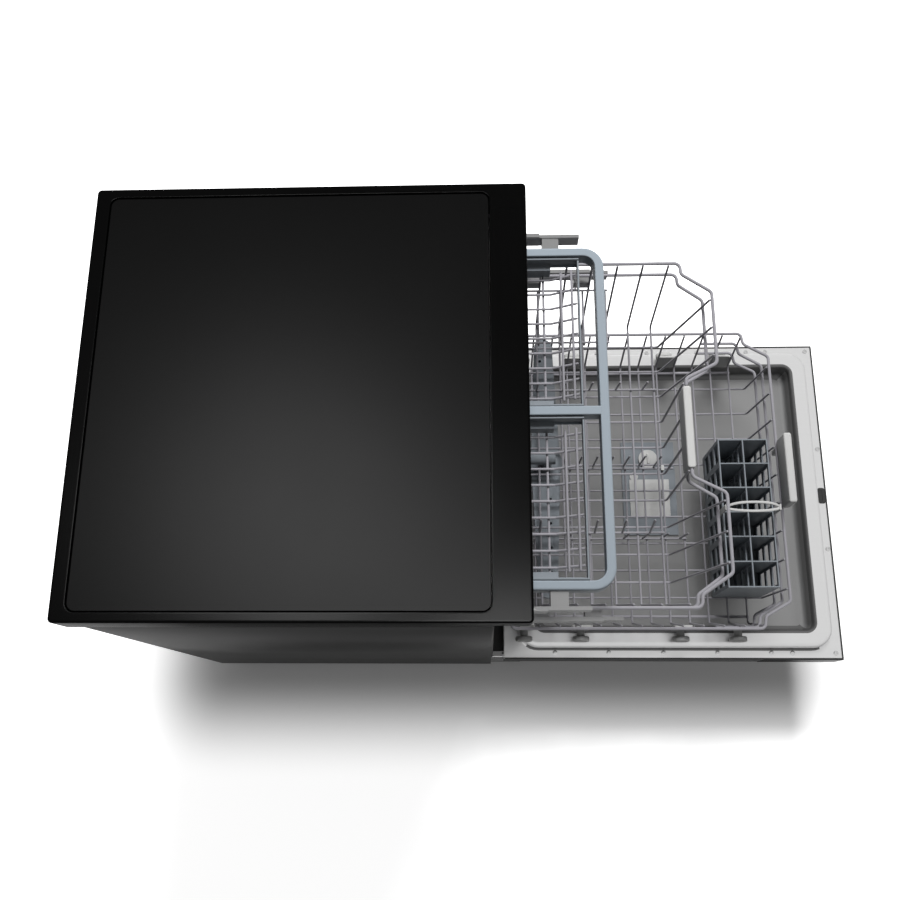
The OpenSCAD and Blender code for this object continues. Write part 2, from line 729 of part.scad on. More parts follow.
module tray_middle_rail() middle_rail(tray_rail_z, tray_travel);
module tray_inner_rail() inner_rail([tray_front_y + 33, tray_front_y + tray_l - 20], tray_rail_z,
    tray_half_w + weld);
module rack_middle_rail() middle_rail(rack_rail_z, middle_travel);
module rack_inner_rail() inner_rail([middle_front_y + 150, middle_rear_y - 10], rack_rail_z,
    side_wire_x(rack_rail_z + rail_h - 2) + thin_r + 4 * weld);

// Door, drawn round its pivot: x, distance from the pivot towards the free end, height

module on_door() translate([0, pivot_y, pivot_z]) mirror([0, 1, 0]) children();

liner_half_w = door_half_w - 0.5;

module door_liner() color(steel) on_door() difference() {
    union() {
        difference() {
            union() {
                block([-liner_half_w, liner_half_w], [-door_heel, door_l - 1],
                    [flange_up - sheet, flange_up]);
                plate([-raised_half_w, raised_half_w], [raised_start, raised_end],
                    [flange_up - sheet, flange_up + raised_h], raised_r);
            }
            plate([sheet - raised_half_w, raised_half_w - sheet], [raised_start + sheet, raised_end - sheet],
                [flange_up - 2 * sheet, flange_up + raised_h - sheet], raised_r - sheet);
        }
        plate([-recess_half_w - sheet, recess_half_w + sheet], [recess_start - sheet, recess_end + sheet],
            [flange_up + raised_h - recess_h - sheet, flange_up + raised_h - sheet / 2], recess_r + sheet);
    }
    plate([-recess_half_w, recess_half_w], [recess_start, recess_end],
        [flange_up + raised_h - recess_h, flange_up + raised_h + 1], recess_r);
    block([-9, 9], [hook_u - 3, hook_u + 3], [flange_up - 5, flange_up + 5]);
    translate([dispenser_x, dispenser_u, 0])
        block([-dispenser_half_w - slide_gap, dispenser_half_w + slide_gap],
            [-dispenser_half_l - slide_gap, dispenser_half_l + slide_gap], [-10, flange_up]);
    both_sides() for (u = screw_us)
        translate([screw_x, u, flange_up - 5]) cylinder(r = screw_r + 0.05, h = 10, $fn = 16);
}

control_u = door_l - control_l;
outer_top = flange_up - sheet - weld;

module door_outer_panel() color(black) on_door() difference() {
    block([-door_half_w, door_half_w], [-door_heel, control_u - 0.5], [-face_down, outer_top]);
    block([sheet - door_half_w, door_half_w - sheet], [sheet - door_heel, control_u],
        [sheet - face_down, outer_top + 1]);
    both_sides() block([hinge_arm_x - 16, hinge_out_x + 1], [-door_heel - 1, 16],
        [-face_down - 1, outer_top + 1]);
}

button_xs = [-150, -60, 150];
button_u = control_u + 100;
pocket_half_w = 95;
window_x = 45;
window_half_w = 60;
window_half_l = 12;
// Finger grip, as distances from the panel's lower edge, and its depth
grip_u = [8, 50];
grip_h = 20;

module control_panel() color(black) on_door() difference() {
    block([-half_w, half_w], [control_u, door_l], [-face_down - 2, outer_top]);
    difference() {
        block([control_wall - half_w, half_w - control_wall],
            [control_u + control_wall, door_l - control_wall],
            [control_wall - face_down - 2, outer_top + 1]);
        block([-pocket_half_w - control_wall, pocket_half_w + control_wall],
            [control_u, control_u + grip_u[1] + 8], [-face_down - 2, -face_down + grip_h + 2]);
    }
    block([-pocket_half_w, pocket_half_w], [control_u + grip_u[0], control_u + grip_u[1]],
        [-face_down - 3, -face_down + grip_h - 2]);
    block([-recess_half_w - 3, recess_half_w + 3], [control_u - 1, control_u + control_wall + 1],
        [recess_floor - 2 * sheet - slide_gap, outer_top + 1]);
    for (x = button_xs) translate([x, button_u, -face_down - 3]) cylinder(r = button_r + slide_gap, h = 10);
    block([window_x - window_half_w, window_x + window_half_w],
        [button_u - window_half_l, button_u + window_half_l],
        [-face_down - 3, -face_down - 2 + control_wall / 2]);
}

module display_window() color(dark) on_door()
    block([window_x - window_half_w + weld, window_x + window_half_w - weld],
        [button_u - window_half_l + weld, button_u + window_half_l - weld],
        [-face_down - 2, -face_down - 2 + control_wall / 2 - weld]);

module push_button(x) color(light_grey) on_door() translate([x, button_u, 0]) {
    translate([0, 0, -face_down - 2 - button_travel])
        cylinder(r = button_r, h = button_travel + control_wall + slide_gap + 1);
    translate([0, 0, -face_down - 2 + control_wall + slide_gap]) cylinder(r = button_r + 3, h = 2);
}

module power_button() push_button(button_xs[0]);
module program_button() push_button(button_xs[1]);
module start_button() push_button(button_xs[2]);

dispenser_x = 20;
dispenser_u = 270;
dispenser_half_w = 85;
dispenser_half_l = 45;
recess_floor = flange_up + raised_h - recess_h;
lid_x = -20;
lid_half = 34;
lid_pin = [22, -28];
lid_pin_r = 2.5;
lid_lug_r = 8;
// Height of the lips of the lid and the cap, and the rim of the dispenser
bezel_t = 3;
bezel_w = 5;
tab_top = recess_floor + 11;

module dispenser_body() color(plastic_grey) on_door() translate([dispenser_x, dispenser_u, 0]) difference() {
    union() {
        block([-dispenser_half_w, dispenser_half_w], [-dispenser_half_l, dispenser_half_l],
            [3 - face_down, recess_floor + 2]);
        block([-dispenser_half_w - bezel_w, dispenser_half_w + bezel_w],
            [-dispenser_half_l - bezel_w, dispenser_half_l + bezel_w],
            [recess_floor + weld, recess_floor + bezel_t]);
    }
    block([lid_x - lid_half, lid_x + lid_half], [-lid_half, lid_half], [recess_floor - 16, recess_floor + 4]);
    translate([rinse_x, 0, recess_floor - 14]) cylinder(r = rinse_r + pin_gap, h = 20);
    translate([lid_pin[0], lid_pin[1], recess_floor - 10]) cylinder(r = lid_pin_r + pin_gap, h = 20);
}

rinse_x = 56;
rinse_r = 15;

// The lid swings on a pin at one corner
module dispenser_lid() color(light_grey) on_door() translate([dispenser_x, dispenser_u, 0]) {
    translate([lid_pin[0], lid_pin[1], recess_floor + bezel_t + slide_gap])
        cylinder(r = lid_lug_r, h = bezel_t - slide_gap);
    translate([lid_pin[0], lid_pin[1], recess_floor - 8]) cylinder(r = lid_pin_r, h = 12);
    block([lid_x - lid_half - 2, lid_x + lid_half + 2], [-lid_half - 3, lid_half + 3],
        [recess_floor + bezel_t + slide_gap, recess_floor + 2 * bezel_t]);
    block([lid_x - 12, lid_x + 12], [lid_half - 12, lid_half - 8], [recess_floor + 5, tab_top]);
}

module rinse_cap() color(light_grey) on_door() translate([dispenser_x + rinse_x, dispenser_u, 0]) {
    translate([0, 0, recess_floor + bezel_t + slide_gap]) cylinder(r = rinse_r + 3, h = 4);
    translate([0, 0, recess_floor - 12]) cylinder(r = rinse_r, h = 17);
    block([5 - rinse_r, rinse_r - 5], [-2, 2], [recess_floor + 5, tab_top]);
}

module door_latch() color(dark) on_door() difference() {
    block([-34, 34], [hook_u - 22, door_l - control_wall - weld], [-4, outer_top]);
    block([-12, 12], [hook_u - 6, hook_u + 6], [2, outer_top + 1]);
}

screw_x = (raised_half_w + liner_half_w) / 2 - 2;
screw_r = 1.65;
screw_head_r = 3.6;
// Distances of the screws from the door's free end
screw_us = [for (d = [510, 414, 317, 221, 126, 89, 13]) door_l - d];

module door_screws() color(steel) on_door() both_sides() for (u = screw_us) translate([screw_x, u, 0]) {
    translate([0, 0, flange_up + weld]) cylinder(r = screw_head_r, h = 1.6, $fn = 16);
    translate([0, 0, flange_up - 12]) cylinder(r = screw_r, h = 13, $fn = 16);
}

// Third rack: cutlery tray

tray_mid_y = tray_front_y + tray_l / 2;
tray_corner_r = 30;
insert_gap = 1.5;
insert_x0 = tray_band / 2 + insert_gap;
insert_x1 = tray_half_w - tray_band - insert_gap;
insert_y0 = tray_front_y + tray_band + 22;
insert_y1 = tray_front_y + tray_l - tray_band - 14;
insert_floor_z = tray_top_z - 40;
lip_t = 2.5;

module tray_frame() color(tray_blue) difference() {
    plate([-tray_half_w, tray_half_w], [tray_front_y, tray_front_y + tray_l],
        [tray_top_z - tray_skirt, tray_top_z], tray_corner_r);
    difference() {
        plate([tray_band - tray_half_w, tray_half_w - tray_band],
            [tray_front_y + tray_band, tray_front_y + tray_l - tray_band],
            [tray_top_z - tray_skirt - 1, tray_top_z + 1], tray_corner_r - tray_band);
        block([-tray_band / 2, tray_band / 2], [tray_front_y, tray_front_y + tray_l],
            [tray_top_z - tray_skirt, tray_top_z]);
        both_sides() block([tray_half_w - tray_band - 7, tray_half_w], [insert_y0, insert_y1],
            [tray_top_z - tray_skirt, tray_top_z - tray_skirt + lip_t]);
        both_sides() block([0, tray_band / 2 + 7], [insert_y0, insert_y1],
            [tray_top_z - tray_skirt, tray_top_z - tray_skirt + lip_t]);
    }
}

cheek_t = 2.5;
cheek_step = 10;
slope_l = 40;
cheek_z = tray_top_z - tray_skirt + lip_t + weld;

// End plates of the two inserts, stepped down towards their lower middle part
module tray_insert_cheeks() color(plastic_grey) both_sides() {
    for (x = [insert_x0, insert_x1 - cheek_t]) {
        block([x, x + cheek_t], [insert_y0, insert_y1], [cheek_z, tray_top_z - 4]);
        s = x < tray_half_w / 2 ? 1 : -1;
        xs = x + s * cheek_step;
        block([min(x, xs), max(x, xs) + cheek_t], [insert_y0 + slope_l, insert_y1],
            [cheek_z, cheek_z + cheek_t]);
        block([xs, xs + cheek_t], [insert_y0 + slope_l, insert_y1], [insert_floor_z, cheek_z + 1]);
    }
    block([insert_x0, insert_x1], [insert_y0, insert_y0 + cheek_t], [cheek_z, tray_top_z - 6]);
    block([insert_x0, insert_x1], [insert_y1 - cheek_t, insert_y1], [cheek_z, tray_top_z - 6]);
}

insert_wx0 = insert_x0 + cheek_step + cheek_t + weld;
insert_wx1 = insert_x1 - cheek_step - cheek_t - weld;

// Front end of the inserts' lengthwise wires, and where they bend down to the floor: y, height
slope_top = [insert_y0 + cheek_t + thin_r / 2, cheek_z + 6];
slope_foot = [insert_y0 + slope_l, insert_floor_z + 3 * thin_r + weld];
function on_slope(t) = slope_foot + t * (slope_top - slope_foot)
    - across(unit(slope_top - slope_foot)) * (2 * thin_r + weld);

module tray_insert_wires() color(wire_grey) both_sides() {
    for (y = spread(insert_y0 + 50, insert_y1 - 10, 6))
        rod([insert_wx0, y, insert_floor_z + thin_r], [insert_wx1, y, insert_floor_z + thin_r], thin_r);
    for (x = spread(insert_wx0 + 8, insert_wx1 - 8, 9))
        bent_wire([[x, slope_top[0], slope_top[1]], [x, slope_foot[0], slope_foot[1]],
            [x, insert_y1 - cheek_t - weld, slope_foot[1]]], thin_r, thin_bend);
    for (p = [on_slope(0.45), on_slope(0.85)])
        rod([insert_wx0, p[0], p[1]], [insert_wx1, p[0], p[1]], thin_r);
}

// Second rack

middle_foot_x = middle_half_w - 26;
lobe_in = 45;
lobe_x = 212;
notch_x = 98;
handle_half_w = 62;
handle_wire_l = 12;
prong_x = 120;
prong_lean = 8;
prong_h = 62;
middle_wire_x = 198;
lower_wire_x = 195;

// Front and back wires of the rim, and the foot of the wires that rise to them
middle_y0 = middle_front_y + wire_r;
middle_y1 = middle_rear_y - wire_r;
notch_y = middle_y0 + lobe_in + 2;
second_z = middle_rim_z - 30;
long_z = middle_base_z - 2 * thin_r - weld;
side_foot = [middle_foot_x, middle_base_z];
side_top = wire_end(side_foot, [middle_half_w, middle_rim_z], 1);
lobe_foot = [notch_y + wire_step, long_z];
lobe_top = wire_end(lobe_foot, [middle_y0, middle_rim_z], -1);
function side_wire_x(z) = wire_at(side_foot, side_top, z);

// Half of a rack's rim from the handle to the middle of its back
function rim_path(half, front, z) = [
    [handle_half_w, notch_y, z], [handle_half_w + handle_wire_l, notch_y, z],
    [notch_x, front, z], [lobe_x, front, z], [half - 18, notch_y - 3, z], [half, notch_y - 2, z],
    [half, middle_y1, z], [0, middle_y1, z]];

// Top of a lengthwise wire's front end
function middle_front_end(x) =
    abs(x) < handle_half_w ? [lobe_foot[0], middle_rim_z - 34 - weld]
    : abs(x) < notch_x ? [lobe_foot[0], middle_rim_z + thin_r] : lobe_top;

module middle_rack_wires() color(wire_grey) {
    foot_y0 = notch_y + 15;
    foot_y1 = middle_y1 - 14;
    both_sides() bent_wire(rim_path(middle_half_w, middle_y0, middle_rim_z), wire_r, rim_bend);
    both_sides() bent_wire(rim_path(seat_at(side_foot, side_top, second_z, 1),
        seat_at(lobe_foot, lobe_top, second_z, -1), second_z), wire_r, rim_bend);
    for (y = spread(foot_y0, foot_y1, 11))
        bent_wire([[-side_top[0], y, side_top[1]], [-middle_foot_x, y, middle_base_z],
            [middle_foot_x, y, middle_base_z], [side_top[0], y, side_top[1]]], thin_r, thin_bend);
    for (x = spread(-middle_wire_x, middle_wire_x, 10)) {
        t = middle_front_end(x);
        bent_wire([[x, t[0], t[1]], [x, lobe_foot[0], long_z], [x, middle_y1 - wire_step, long_z],
            [x, middle_y1 - wire_step, middle_rim_z + thin_r]], thin_r, thin_bend);
    }
    // Two rows of prongs for cups, each on a lengthwise wire
    both_sides() {
        rod([prong_x, foot_y0 - 4, middle_base_z + 2 * thin_r + weld],
            [prong_x, foot_y1 + 4, middle_base_z + 2 * thin_r + weld], thin_r);
        for (y = spread(foot_y0 + 20, foot_y1 - 16, 9))
            rod([prong_x, y, middle_base_z + 3 * thin_r + thin_r / 6],
                [prong_x - prong_lean, y, middle_base_z + prong_h], thin_r);
    }
}

module middle_rack_handle() color(light_grey)
    block([-handle_half_w + weld, handle_half_w - weld], [notch_y - 6, notch_y + 6],
        [middle_rim_z - 34, middle_rim_z + 4]);

shelf_z = middle_rim_z - 58;
shelf_x = side_wire_x(shelf_z) - 2 * thin_r - slide_gap;
shelf_w = 88;
shelf_ys = [middle_front_y + 150, middle_rear_y - 60];

module cup_shelf() color(wire_grey) {
    for (x = [shelf_x - shelf_w, shelf_x])
        rod([x, shelf_ys[0], shelf_z], [x, shelf_ys[1], shelf_z], thin_r);
    for (y = spread(shelf_ys[0] + 4, shelf_ys[1] - 4, 8))
        rod([shelf_x - shelf_w - 4, y, shelf_z - 2 * thin_r - weld],
            [shelf_x, y, shelf_z - 2 * thin_r - weld], thin_r);
}

// First rack, on wheels

lower_front_y = front_y - lower_out;
lower_rear_y = lower_front_y + lower_l;
lower_foot_x = lower_half_w - 20;
wheel_x = lower_half_w + 6;
wheel_gap = 0.3;
wheel_z = pivot_z + flange_up + raised_h + wheel_gap + wheel_r;
wheel_ys = [for (d = [62, 162, 337, 437]) lower_front_y + d];
wheel_pin_r = 4;
lower_lobe_x = 216;
front_step = 34;
bracket_half_l = 18;
bracket_t = 4;
wheel_boss_r = 7;
bracket_top_z = lower_rim_z - 78;
plate_prong_x = -90;
plate_prong_lean = 6;
plate_prong_h = 80;

lower_y0 = lower_front_y + wire_r;
lower_y1 = lower_rear_y - wire_r;
lower_foot_y0 = lower_y0 + 44;
lower_foot_y1 = lower_y1 - 14;
lower_long_z = lower_base_z - 2 * thin_r - weld;
lower_side_foot = [lower_foot_x, lower_base_z];
lower_side_top = wire_end(lower_side_foot, [lower_half_w, lower_rim_z], 1);
bracket_x = wire_at(lower_side_foot, lower_side_top, bracket_top_z) + thin_r + 4 * weld;
lower_front_foot = [lower_y0 + 15, lower_long_z];
lower_front_top = wire_end(lower_front_foot, [lower_y0, lower_rim_z], -1);
lower_ys = spread(lower_foot_y0, lower_foot_y1, 13);

// Rim from the middle of its front to the middle of its back, and a lower wire round the front
lower_rim = [
    [0, lower_y0, lower_rim_z], [lower_lobe_x, lower_y0, lower_rim_z],
    [lower_half_w - 20, lower_y0 + 42, lower_rim_z], [lower_half_w, lower_y0 + 45, lower_rim_z],
    [lower_half_w, lower_y1, lower_rim_z], [0, lower_y1, lower_rim_z]];
function low_front(y, half, z) = [
    [0, y, z], [lower_lobe_x - 4, y, z], [half - 20, lower_y0 + 42, z], [half, lower_y0 + 45, z],
    [half, lower_y0 + 110, z]];

module lower_rack_wires() color(wire_grey) {
    both_sides() bent_wire(lower_rim, wire_r, rim_bend);
    for (z = [lower_rim_z - front_step, lower_rim_z - 2 * front_step])
        both_sides() bent_wire(low_front(seat_at(lower_front_foot, lower_front_top, z, -1),
            seat_at(lower_side_foot, lower_side_top, z, 1), z), wire_r, rim_bend);
    for (y = lower_ys)
        bent_wire([[-lower_side_top[0], y, lower_side_top[1]], [-lower_foot_x, y, lower_base_z],
            [lower_foot_x, y, lower_base_z], [lower_side_top[0], y, lower_side_top[1]]], thin_r, thin_bend);
    for (x = spread(-lower_wire_x, lower_wire_x, 9))
        bent_wire([[x, lower_front_top[0], lower_front_top[1]], [x, lower_front_foot[0], lower_long_z],
            [x, lower_y1 - wire_step, lower_long_z], [x, lower_y1 - wire_step, lower_rim_z + thin_r]],
            thin_r, thin_bend);
    // Fixed prongs for plates, on a lengthwise wire
    rod([plate_prong_x, lower_ys[3] - 3, lower_base_z + 2 * thin_r + weld],
        [plate_prong_x, lower_foot_y1 + 3, lower_base_z + 2 * thin_r + weld], thin_r);
    for (y = spread(lower_foot_y0 + 110, lower_foot_y1 - 26, 9))
        rod([plate_prong_x, y, lower_base_z + 3 * thin_r + thin_r / 6],
            [plate_prong_x - plate_prong_lean, y, lower_base_z + plate_prong_h], thin_r);
    // Skids under the floor
    both_sides() rod([lower_foot_x - 12, lower_foot_y0 - 4, lower_base_z - thin_r - wire_r - weld],
        [lower_foot_x - 12, lower_foot_y1 + 4, lower_base_z - thin_r - wire_r - weld], wire_r);
    // Wheel pins on their brackets
    both_sides() for (y = wheel_ys) {
        block([bracket_x, bracket_x + bracket_t], [y - bracket_half_l, y + bracket_half_l],
            [wheel_z - wheel_boss_r, bracket_top_z]);
        translate([bracket_x + 1, y, wheel_z]) rotate([0, 90, 0]) {
            cylinder(r = wheel_boss_r, h = wheel_x - wheel_w / 2 - 1 - bracket_x - 1);
            cylinder(r = wheel_pin_r, h = wheel_x + wheel_w / 2 - bracket_x - 1);
        }
    }
    // Clips that hold the bar of the folding tines
    for (y = [lower_ys[4], lower_ys[10]]) difference() {
        block([tine_x - 5, tine_x + 5], [y - 3, y + 3], [lower_base_z + thin_r + weld, tine_z + 5]);
        y_cylinder([tine_x, y - 4, tine_z], tine_bar_r + pin_gap, 8);
    }
}

module rack_wheel_pair(y) color(light_grey) both_sides() difference() {
    x_cylinder([wheel_x, y, wheel_z], wheel_r, wheel_w);
    x_cylinder([wheel_x, y, wheel_z], wheel_pin_r + pin_gap, wheel_w + 2);
}

module rack_wheels_1() rack_wheel_pair(wheel_ys[0]);
module rack_wheels_2() rack_wheel_pair(wheel_ys[1]);
module rack_wheels_3() rack_wheel_pair(wheel_ys[2]);
module rack_wheels_4() rack_wheel_pair(wheel_ys[3]);

low_handle_top_z = lower_rim_z + 50;
low_handle_h = 44;
low_handle_half_w = 60;
low_handle_y = [lower_front_y - 9, lower_front_y + 4];
leg_x = [44, 54];

module lower_rack_handle() color(light_grey) {
    block([-low_handle_half_w, low_handle_half_w], low_handle_y,
        [low_handle_top_z - low_handle_h, low_handle_top_z]);
    both_sides() block(leg_x, [low_handle_y[0], lower_front_y - weld],
        [lower_rim_z - 40, low_handle_top_z - low_handle_h + 1]);
}

tine_x = 40;
tine_ys = [lower_front_y + 160, lower_rear_y - 40];
tine_bar_r = 2.2;
tine_h = 84;
tine_lean = 4.5;
tine_side = 2 * thin_r + 0.5;
tine_z = lower_base_z + thin_r + tine_bar_r + slide_gap;

module folding_tines() color(wire_grey) {
    rod([tine_x, tine_ys[0], tine_z], [tine_x, tine_ys[1], tine_z], tine_bar_r);
    for (y = spread(tine_ys[0] + 8, tine_ys[1] - 8, 10))
        rod([tine_x + tine_side, y, tine_z], [tine_x + tine_side - tine_lean, y, tine_z + tine_h], thin_r);
}

// Cutlery basket

basket_y0 = lower_front_y + 22;
basket_z = lower_base_z + thin_r + slide_gap;
basket_x0 = basket_x - basket_l / 2;
basket_cells = 6;
// Windows in the basket's walls: three rows
basket_windows_z = 16;
basket_window_h = 26;
basket_window_step = 36;

module cutlery_basket() color(plastic_grey) {
    x1 = basket_x0 + basket_l;
    y1 = basket_y0 + basket_d;
    z1 = basket_z + basket_h;
    t = basket_wall;
    difference() {
        block([basket_x0, x1], [basket_y0, y1], [basket_z, z1]);
        for (i = [0 : basket_cells - 1], j = [0, 1]) {
            cell_w = (basket_l - t) / basket_cells;
            cell_d = (basket_d - t) / 2;
            block([basket_x0 + t + i * cell_w, basket_x0 + (i + 1) * cell_w],
                [basket_y0 + t + j * cell_d, basket_y0 + (j + 1) * cell_d], [basket_z + t, z1 + 1]);
        }
        for (i = [0 : basket_cells - 1], k = [0 : 2]) {
            cell_w = (basket_l - t) / basket_cells;
            z_row = basket_z + basket_windows_z + basket_window_step * k;
            block([basket_x0 + t + 4 + i * cell_w, basket_x0 + (i + 1) * cell_w - 4],
                [basket_y0 - 1, y1 + 1], [z_row, z_row + basket_window_h]);
        }
    }
}

bail_half = basket_d / 2 + 2;
bail_h = 50;
bail_half_w = 5;
bail_z = basket_z + basket_h - 10;

module basket_handle() color(plastic_grey) {
    y = basket_y0 + basket_d / 2;
    translate([basket_x, y, 0]) {
        block([-bail_half_w, bail_half_w], [-bail_half, bail_half], [bail_z + bail_h - 7, bail_z + bail_h]);
        for (s = [-1, 1]) {
            block([-bail_half_w, bail_half_w], [s * bail_half - 1.5, s * bail_half + 1.5],
                [bail_z, bail_z + bail_h]);
            translate([0, s * bail_half - 1.5, bail_z]) rotate([-90, 0, 0]) cylinder(r = bail_half_w, h = 3);
        }
    }
}

worktop_frame();
worktop_panel();
side_panel_left();
side_panel_right();
rear_panel();
base_tray();
kick_panel();
feet();
tub();
tub_gasket();
front_crossbar();
hinge_brackets();
door_springs();
sump();
filter_plate();
cylinder_filter();
softener();
salt_cap();
spray_hub();
lower_spray_arm();
feed_duct();
circulation_pump();
drain_pump();
inlet_valve();
counterweight();
fixed_rails();
door_liner();
door_outer_panel();
control_panel();
display_window();
dispenser_body();
dispenser_lid();
rinse_cap();
door_latch();
door_screws();
hinge_arms();
power_button();
program_button();
start_button();
tray_frame();
tray_insert_cheeks();
tray_insert_wires();
tray_middle_rail();
tray_inner_rail();
middle_rack_wires();
middle_rack_handle();
cup_shelf();
rack_middle_rail();
rack_inner_rail();
upper_feed_pipe();
upper_spray_arm();
lower_rack_wires();
lower_rack_handle();
folding_tines();
rack_wheels_1();
rack_wheels_2();
rack_wheels_3();
rack_wheels_4();
cutlery_basket();
basket_handle();
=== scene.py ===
# %% [markdown]
# # A dishwasher with its racks pulled out
#
# The CAD model gives the machine its size, its parts and its joints. This lesson gives it
# its looks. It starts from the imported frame, keeps every CAD part where it is, and lays
# better surfaces over the parts that the eye meets first: the worktop, the casing, the
# pressed inside of the door, the wire racks, the cutlery tray, the handles and the wheels.

# %% Load the frame
import json
import math

import bmesh
import bpy
import numpy as np
from mathutils import Matrix, Vector


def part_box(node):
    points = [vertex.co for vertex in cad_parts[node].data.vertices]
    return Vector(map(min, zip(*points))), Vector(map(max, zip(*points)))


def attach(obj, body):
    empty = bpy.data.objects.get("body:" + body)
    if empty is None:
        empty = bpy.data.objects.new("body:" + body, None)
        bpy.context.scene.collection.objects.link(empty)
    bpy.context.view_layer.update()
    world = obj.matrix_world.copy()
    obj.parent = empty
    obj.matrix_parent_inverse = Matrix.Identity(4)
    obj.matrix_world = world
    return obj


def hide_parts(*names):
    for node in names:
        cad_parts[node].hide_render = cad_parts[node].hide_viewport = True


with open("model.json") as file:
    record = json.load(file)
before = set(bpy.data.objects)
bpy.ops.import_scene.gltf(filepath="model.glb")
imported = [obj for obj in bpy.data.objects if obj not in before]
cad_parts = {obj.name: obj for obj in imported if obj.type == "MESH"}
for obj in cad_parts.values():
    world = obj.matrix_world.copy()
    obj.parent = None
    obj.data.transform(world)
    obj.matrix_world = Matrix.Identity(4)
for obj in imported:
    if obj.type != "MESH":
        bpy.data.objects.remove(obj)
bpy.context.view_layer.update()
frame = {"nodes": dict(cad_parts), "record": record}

nodes = frame["nodes"]
body_of = {n: b for b, ns in frame["record"]["behaviour"]["bodies"].items() for n in ns}

# %% [markdown]
# ## The camera first
#
# The picture is taken from almost straight above, a little to the left of the machine, so
# the lens, the place and the turn of the camera come before any shape: they decide which
# surfaces matter. The two directions below were worked out from the corners of the worktop
# and of the door.

# %% Camera
camera_data = bpy.data.cameras.new("camera")
camera_data.lens = 38.84
camera_data.sensor_width = 36.0
camera = bpy.data.objects.new("camera", camera_data)
bpy.context.scene.collection.objects.link(camera)
look = Vector((0.2792, 0.0379, -0.9595)).normalized()
right = Vector((0.0045, -0.9993, -0.0382))
right = (right - look * right.dot(look)).normalized()
up = right.cross(look)
camera.matrix_world = Matrix.Translation((-0.425, 0.04525, 2.0233)) @ Matrix(
    (right, up, -look)).transposed().to_4x4()
bpy.context.scene.camera = camera
print("camera looks along", [round(v, 3) for v in look])

# %% [markdown]
# ## Light, floor and background
#
# A studio picture on white paper: one broad lamp high on the far side throws the soft
# shadow towards the viewer, and the white surroundings fill it. The world is plain white
# for the camera and for reflections, and dimmer as a light, so black plastic stays black.
# The paper grows brighter with the distance from the machine's footprint, which is
# |place| - half the size, kept at zero inside: the shadow fades to white as in the picture.
# Two more lamps light only the worktop, and only in reflections: they are its soft sheen.

# %% Lamps
def area_lamp(name, place, target, size, power):
    """A square lamp of the given size that faces a target."""
    data = bpy.data.lights.new(name, "AREA")
    data.shape = "SQUARE"
    data.size = size
    data.energy = power
    lamp = bpy.data.objects.new(name, data)
    bpy.context.scene.collection.objects.link(lamp)
    lamp.location = place
    lamp.rotation_euler = (Vector(target) - Vector(place)).to_track_quat("-Z", "Y").to_euler()
    return lamp


key = area_lamp("key_lamp", (2.0, -0.4, 3.6), (0.0, -0.05, 0.3), 1.4, 245)
key.visible_glossy = False
worktop_only = bpy.data.collections.new("worktop_pieces")
for name, place, size, power in (("panel_glow", (0.34, 0.75, 3.2), 0.8, 112),
                                 ("rim_glow", (-0.30, -0.04, 3.2), 0.6, 85)):
    glow = area_lamp(name, place, (0.0, 0.3, 0.8), size, power)
    glow.visible_diffuse = False
    glow.light_linking.receiver_collection = worktop_only
print("one key lamp, and two lamps for the worktop alone")

# %% Node helpers
def feed(tree, node, inputs):
    """Gives a shader node its inputs: a socket is linked, anything else is the input's value."""
    for label, value in inputs.items():
        if isinstance(value, bpy.types.NodeSocket):
            tree.links.new(value, node.inputs[label])
        else:
            node.inputs[label].default_value = value
    return node


def add_node(tree, kind, inputs, **settings):
    """A new shader node of the given kind, with its settings and its inputs."""
    node = tree.nodes.new("ShaderNode" + kind)
    for key, value in settings.items():
        setattr(node, key, value)
    return feed(tree, node, inputs)


white_colour = (1, 1, 1, 1)
print("each shader node takes its inputs in one call")

# %% White world
world = bpy.data.worlds.new("studio")
bpy.context.scene.world = world
world.use_nodes = True
tree = world.node_tree
tree.nodes.clear()
rays = add_node(tree, "LightPath", {}).outputs
mirrored = add_node(tree, "Math", {0: rays["Is Glossy Ray"], 1: rays["Is Transmission Ray"]},
                    operation="MAXIMUM")
seen = add_node(tree, "Math", {0: rays["Is Camera Ray"], 1: mirrored.outputs[0]}, operation="MAXIMUM")
dim = add_node(tree, "Background", {"Color": white_colour, "Strength": 0.14})
white = add_node(tree, "Background", {"Color": white_colour, "Strength": 1.0})
choose = add_node(tree, "MixShader", {0: seen.outputs[0], 1: dim.outputs[0], 2: white.outputs[0]})
add_node(tree, "OutputWorld", {"Surface": choose.outputs[0]})
print("the world lights with", round(dim.inputs["Strength"].default_value, 2), "and shows as white")

# %% Floor
reach = 9
floor_mesh = bpy.data.meshes.new("floor")
floor_mesh.from_pydata([(-reach, -reach, 0), (reach, -reach, 0), (reach, reach, 0), (-reach, reach, 0)], [],
                       [(0, 1, 2, 3)])
floor = bpy.data.objects.new("floor", floor_mesh)
bpy.context.scene.collection.objects.link(floor)
floor_material = bpy.data.materials.new("floor_paper")
floor_material.use_nodes = True
tree = floor_material.node_tree
tree.nodes.clear()
spot = add_node(tree, "TexCoord", {}).outputs["Object"]
away = add_node(tree, "VectorMath", {0: spot}, operation="ABSOLUTE")
over = add_node(tree, "VectorMath", {0: away.outputs["Vector"], 1: (0.30, 0.585, 1.0)}, operation="SUBTRACT")
kept = add_node(tree, "VectorMath", {0: over.outputs["Vector"], 1: (0, 0, 0)}, operation="MAXIMUM")
distance = add_node(tree, "VectorMath", {0: kept.outputs["Vector"]}, operation="LENGTH").outputs["Value"]
fade = add_node(tree, "MapRange", {"Value": distance, "From Min": 0.01, "From Max": 0.22, "To Min": 0.04,
                                   "To Max": 0.85}, interpolation_type="SMOOTHSTEP")
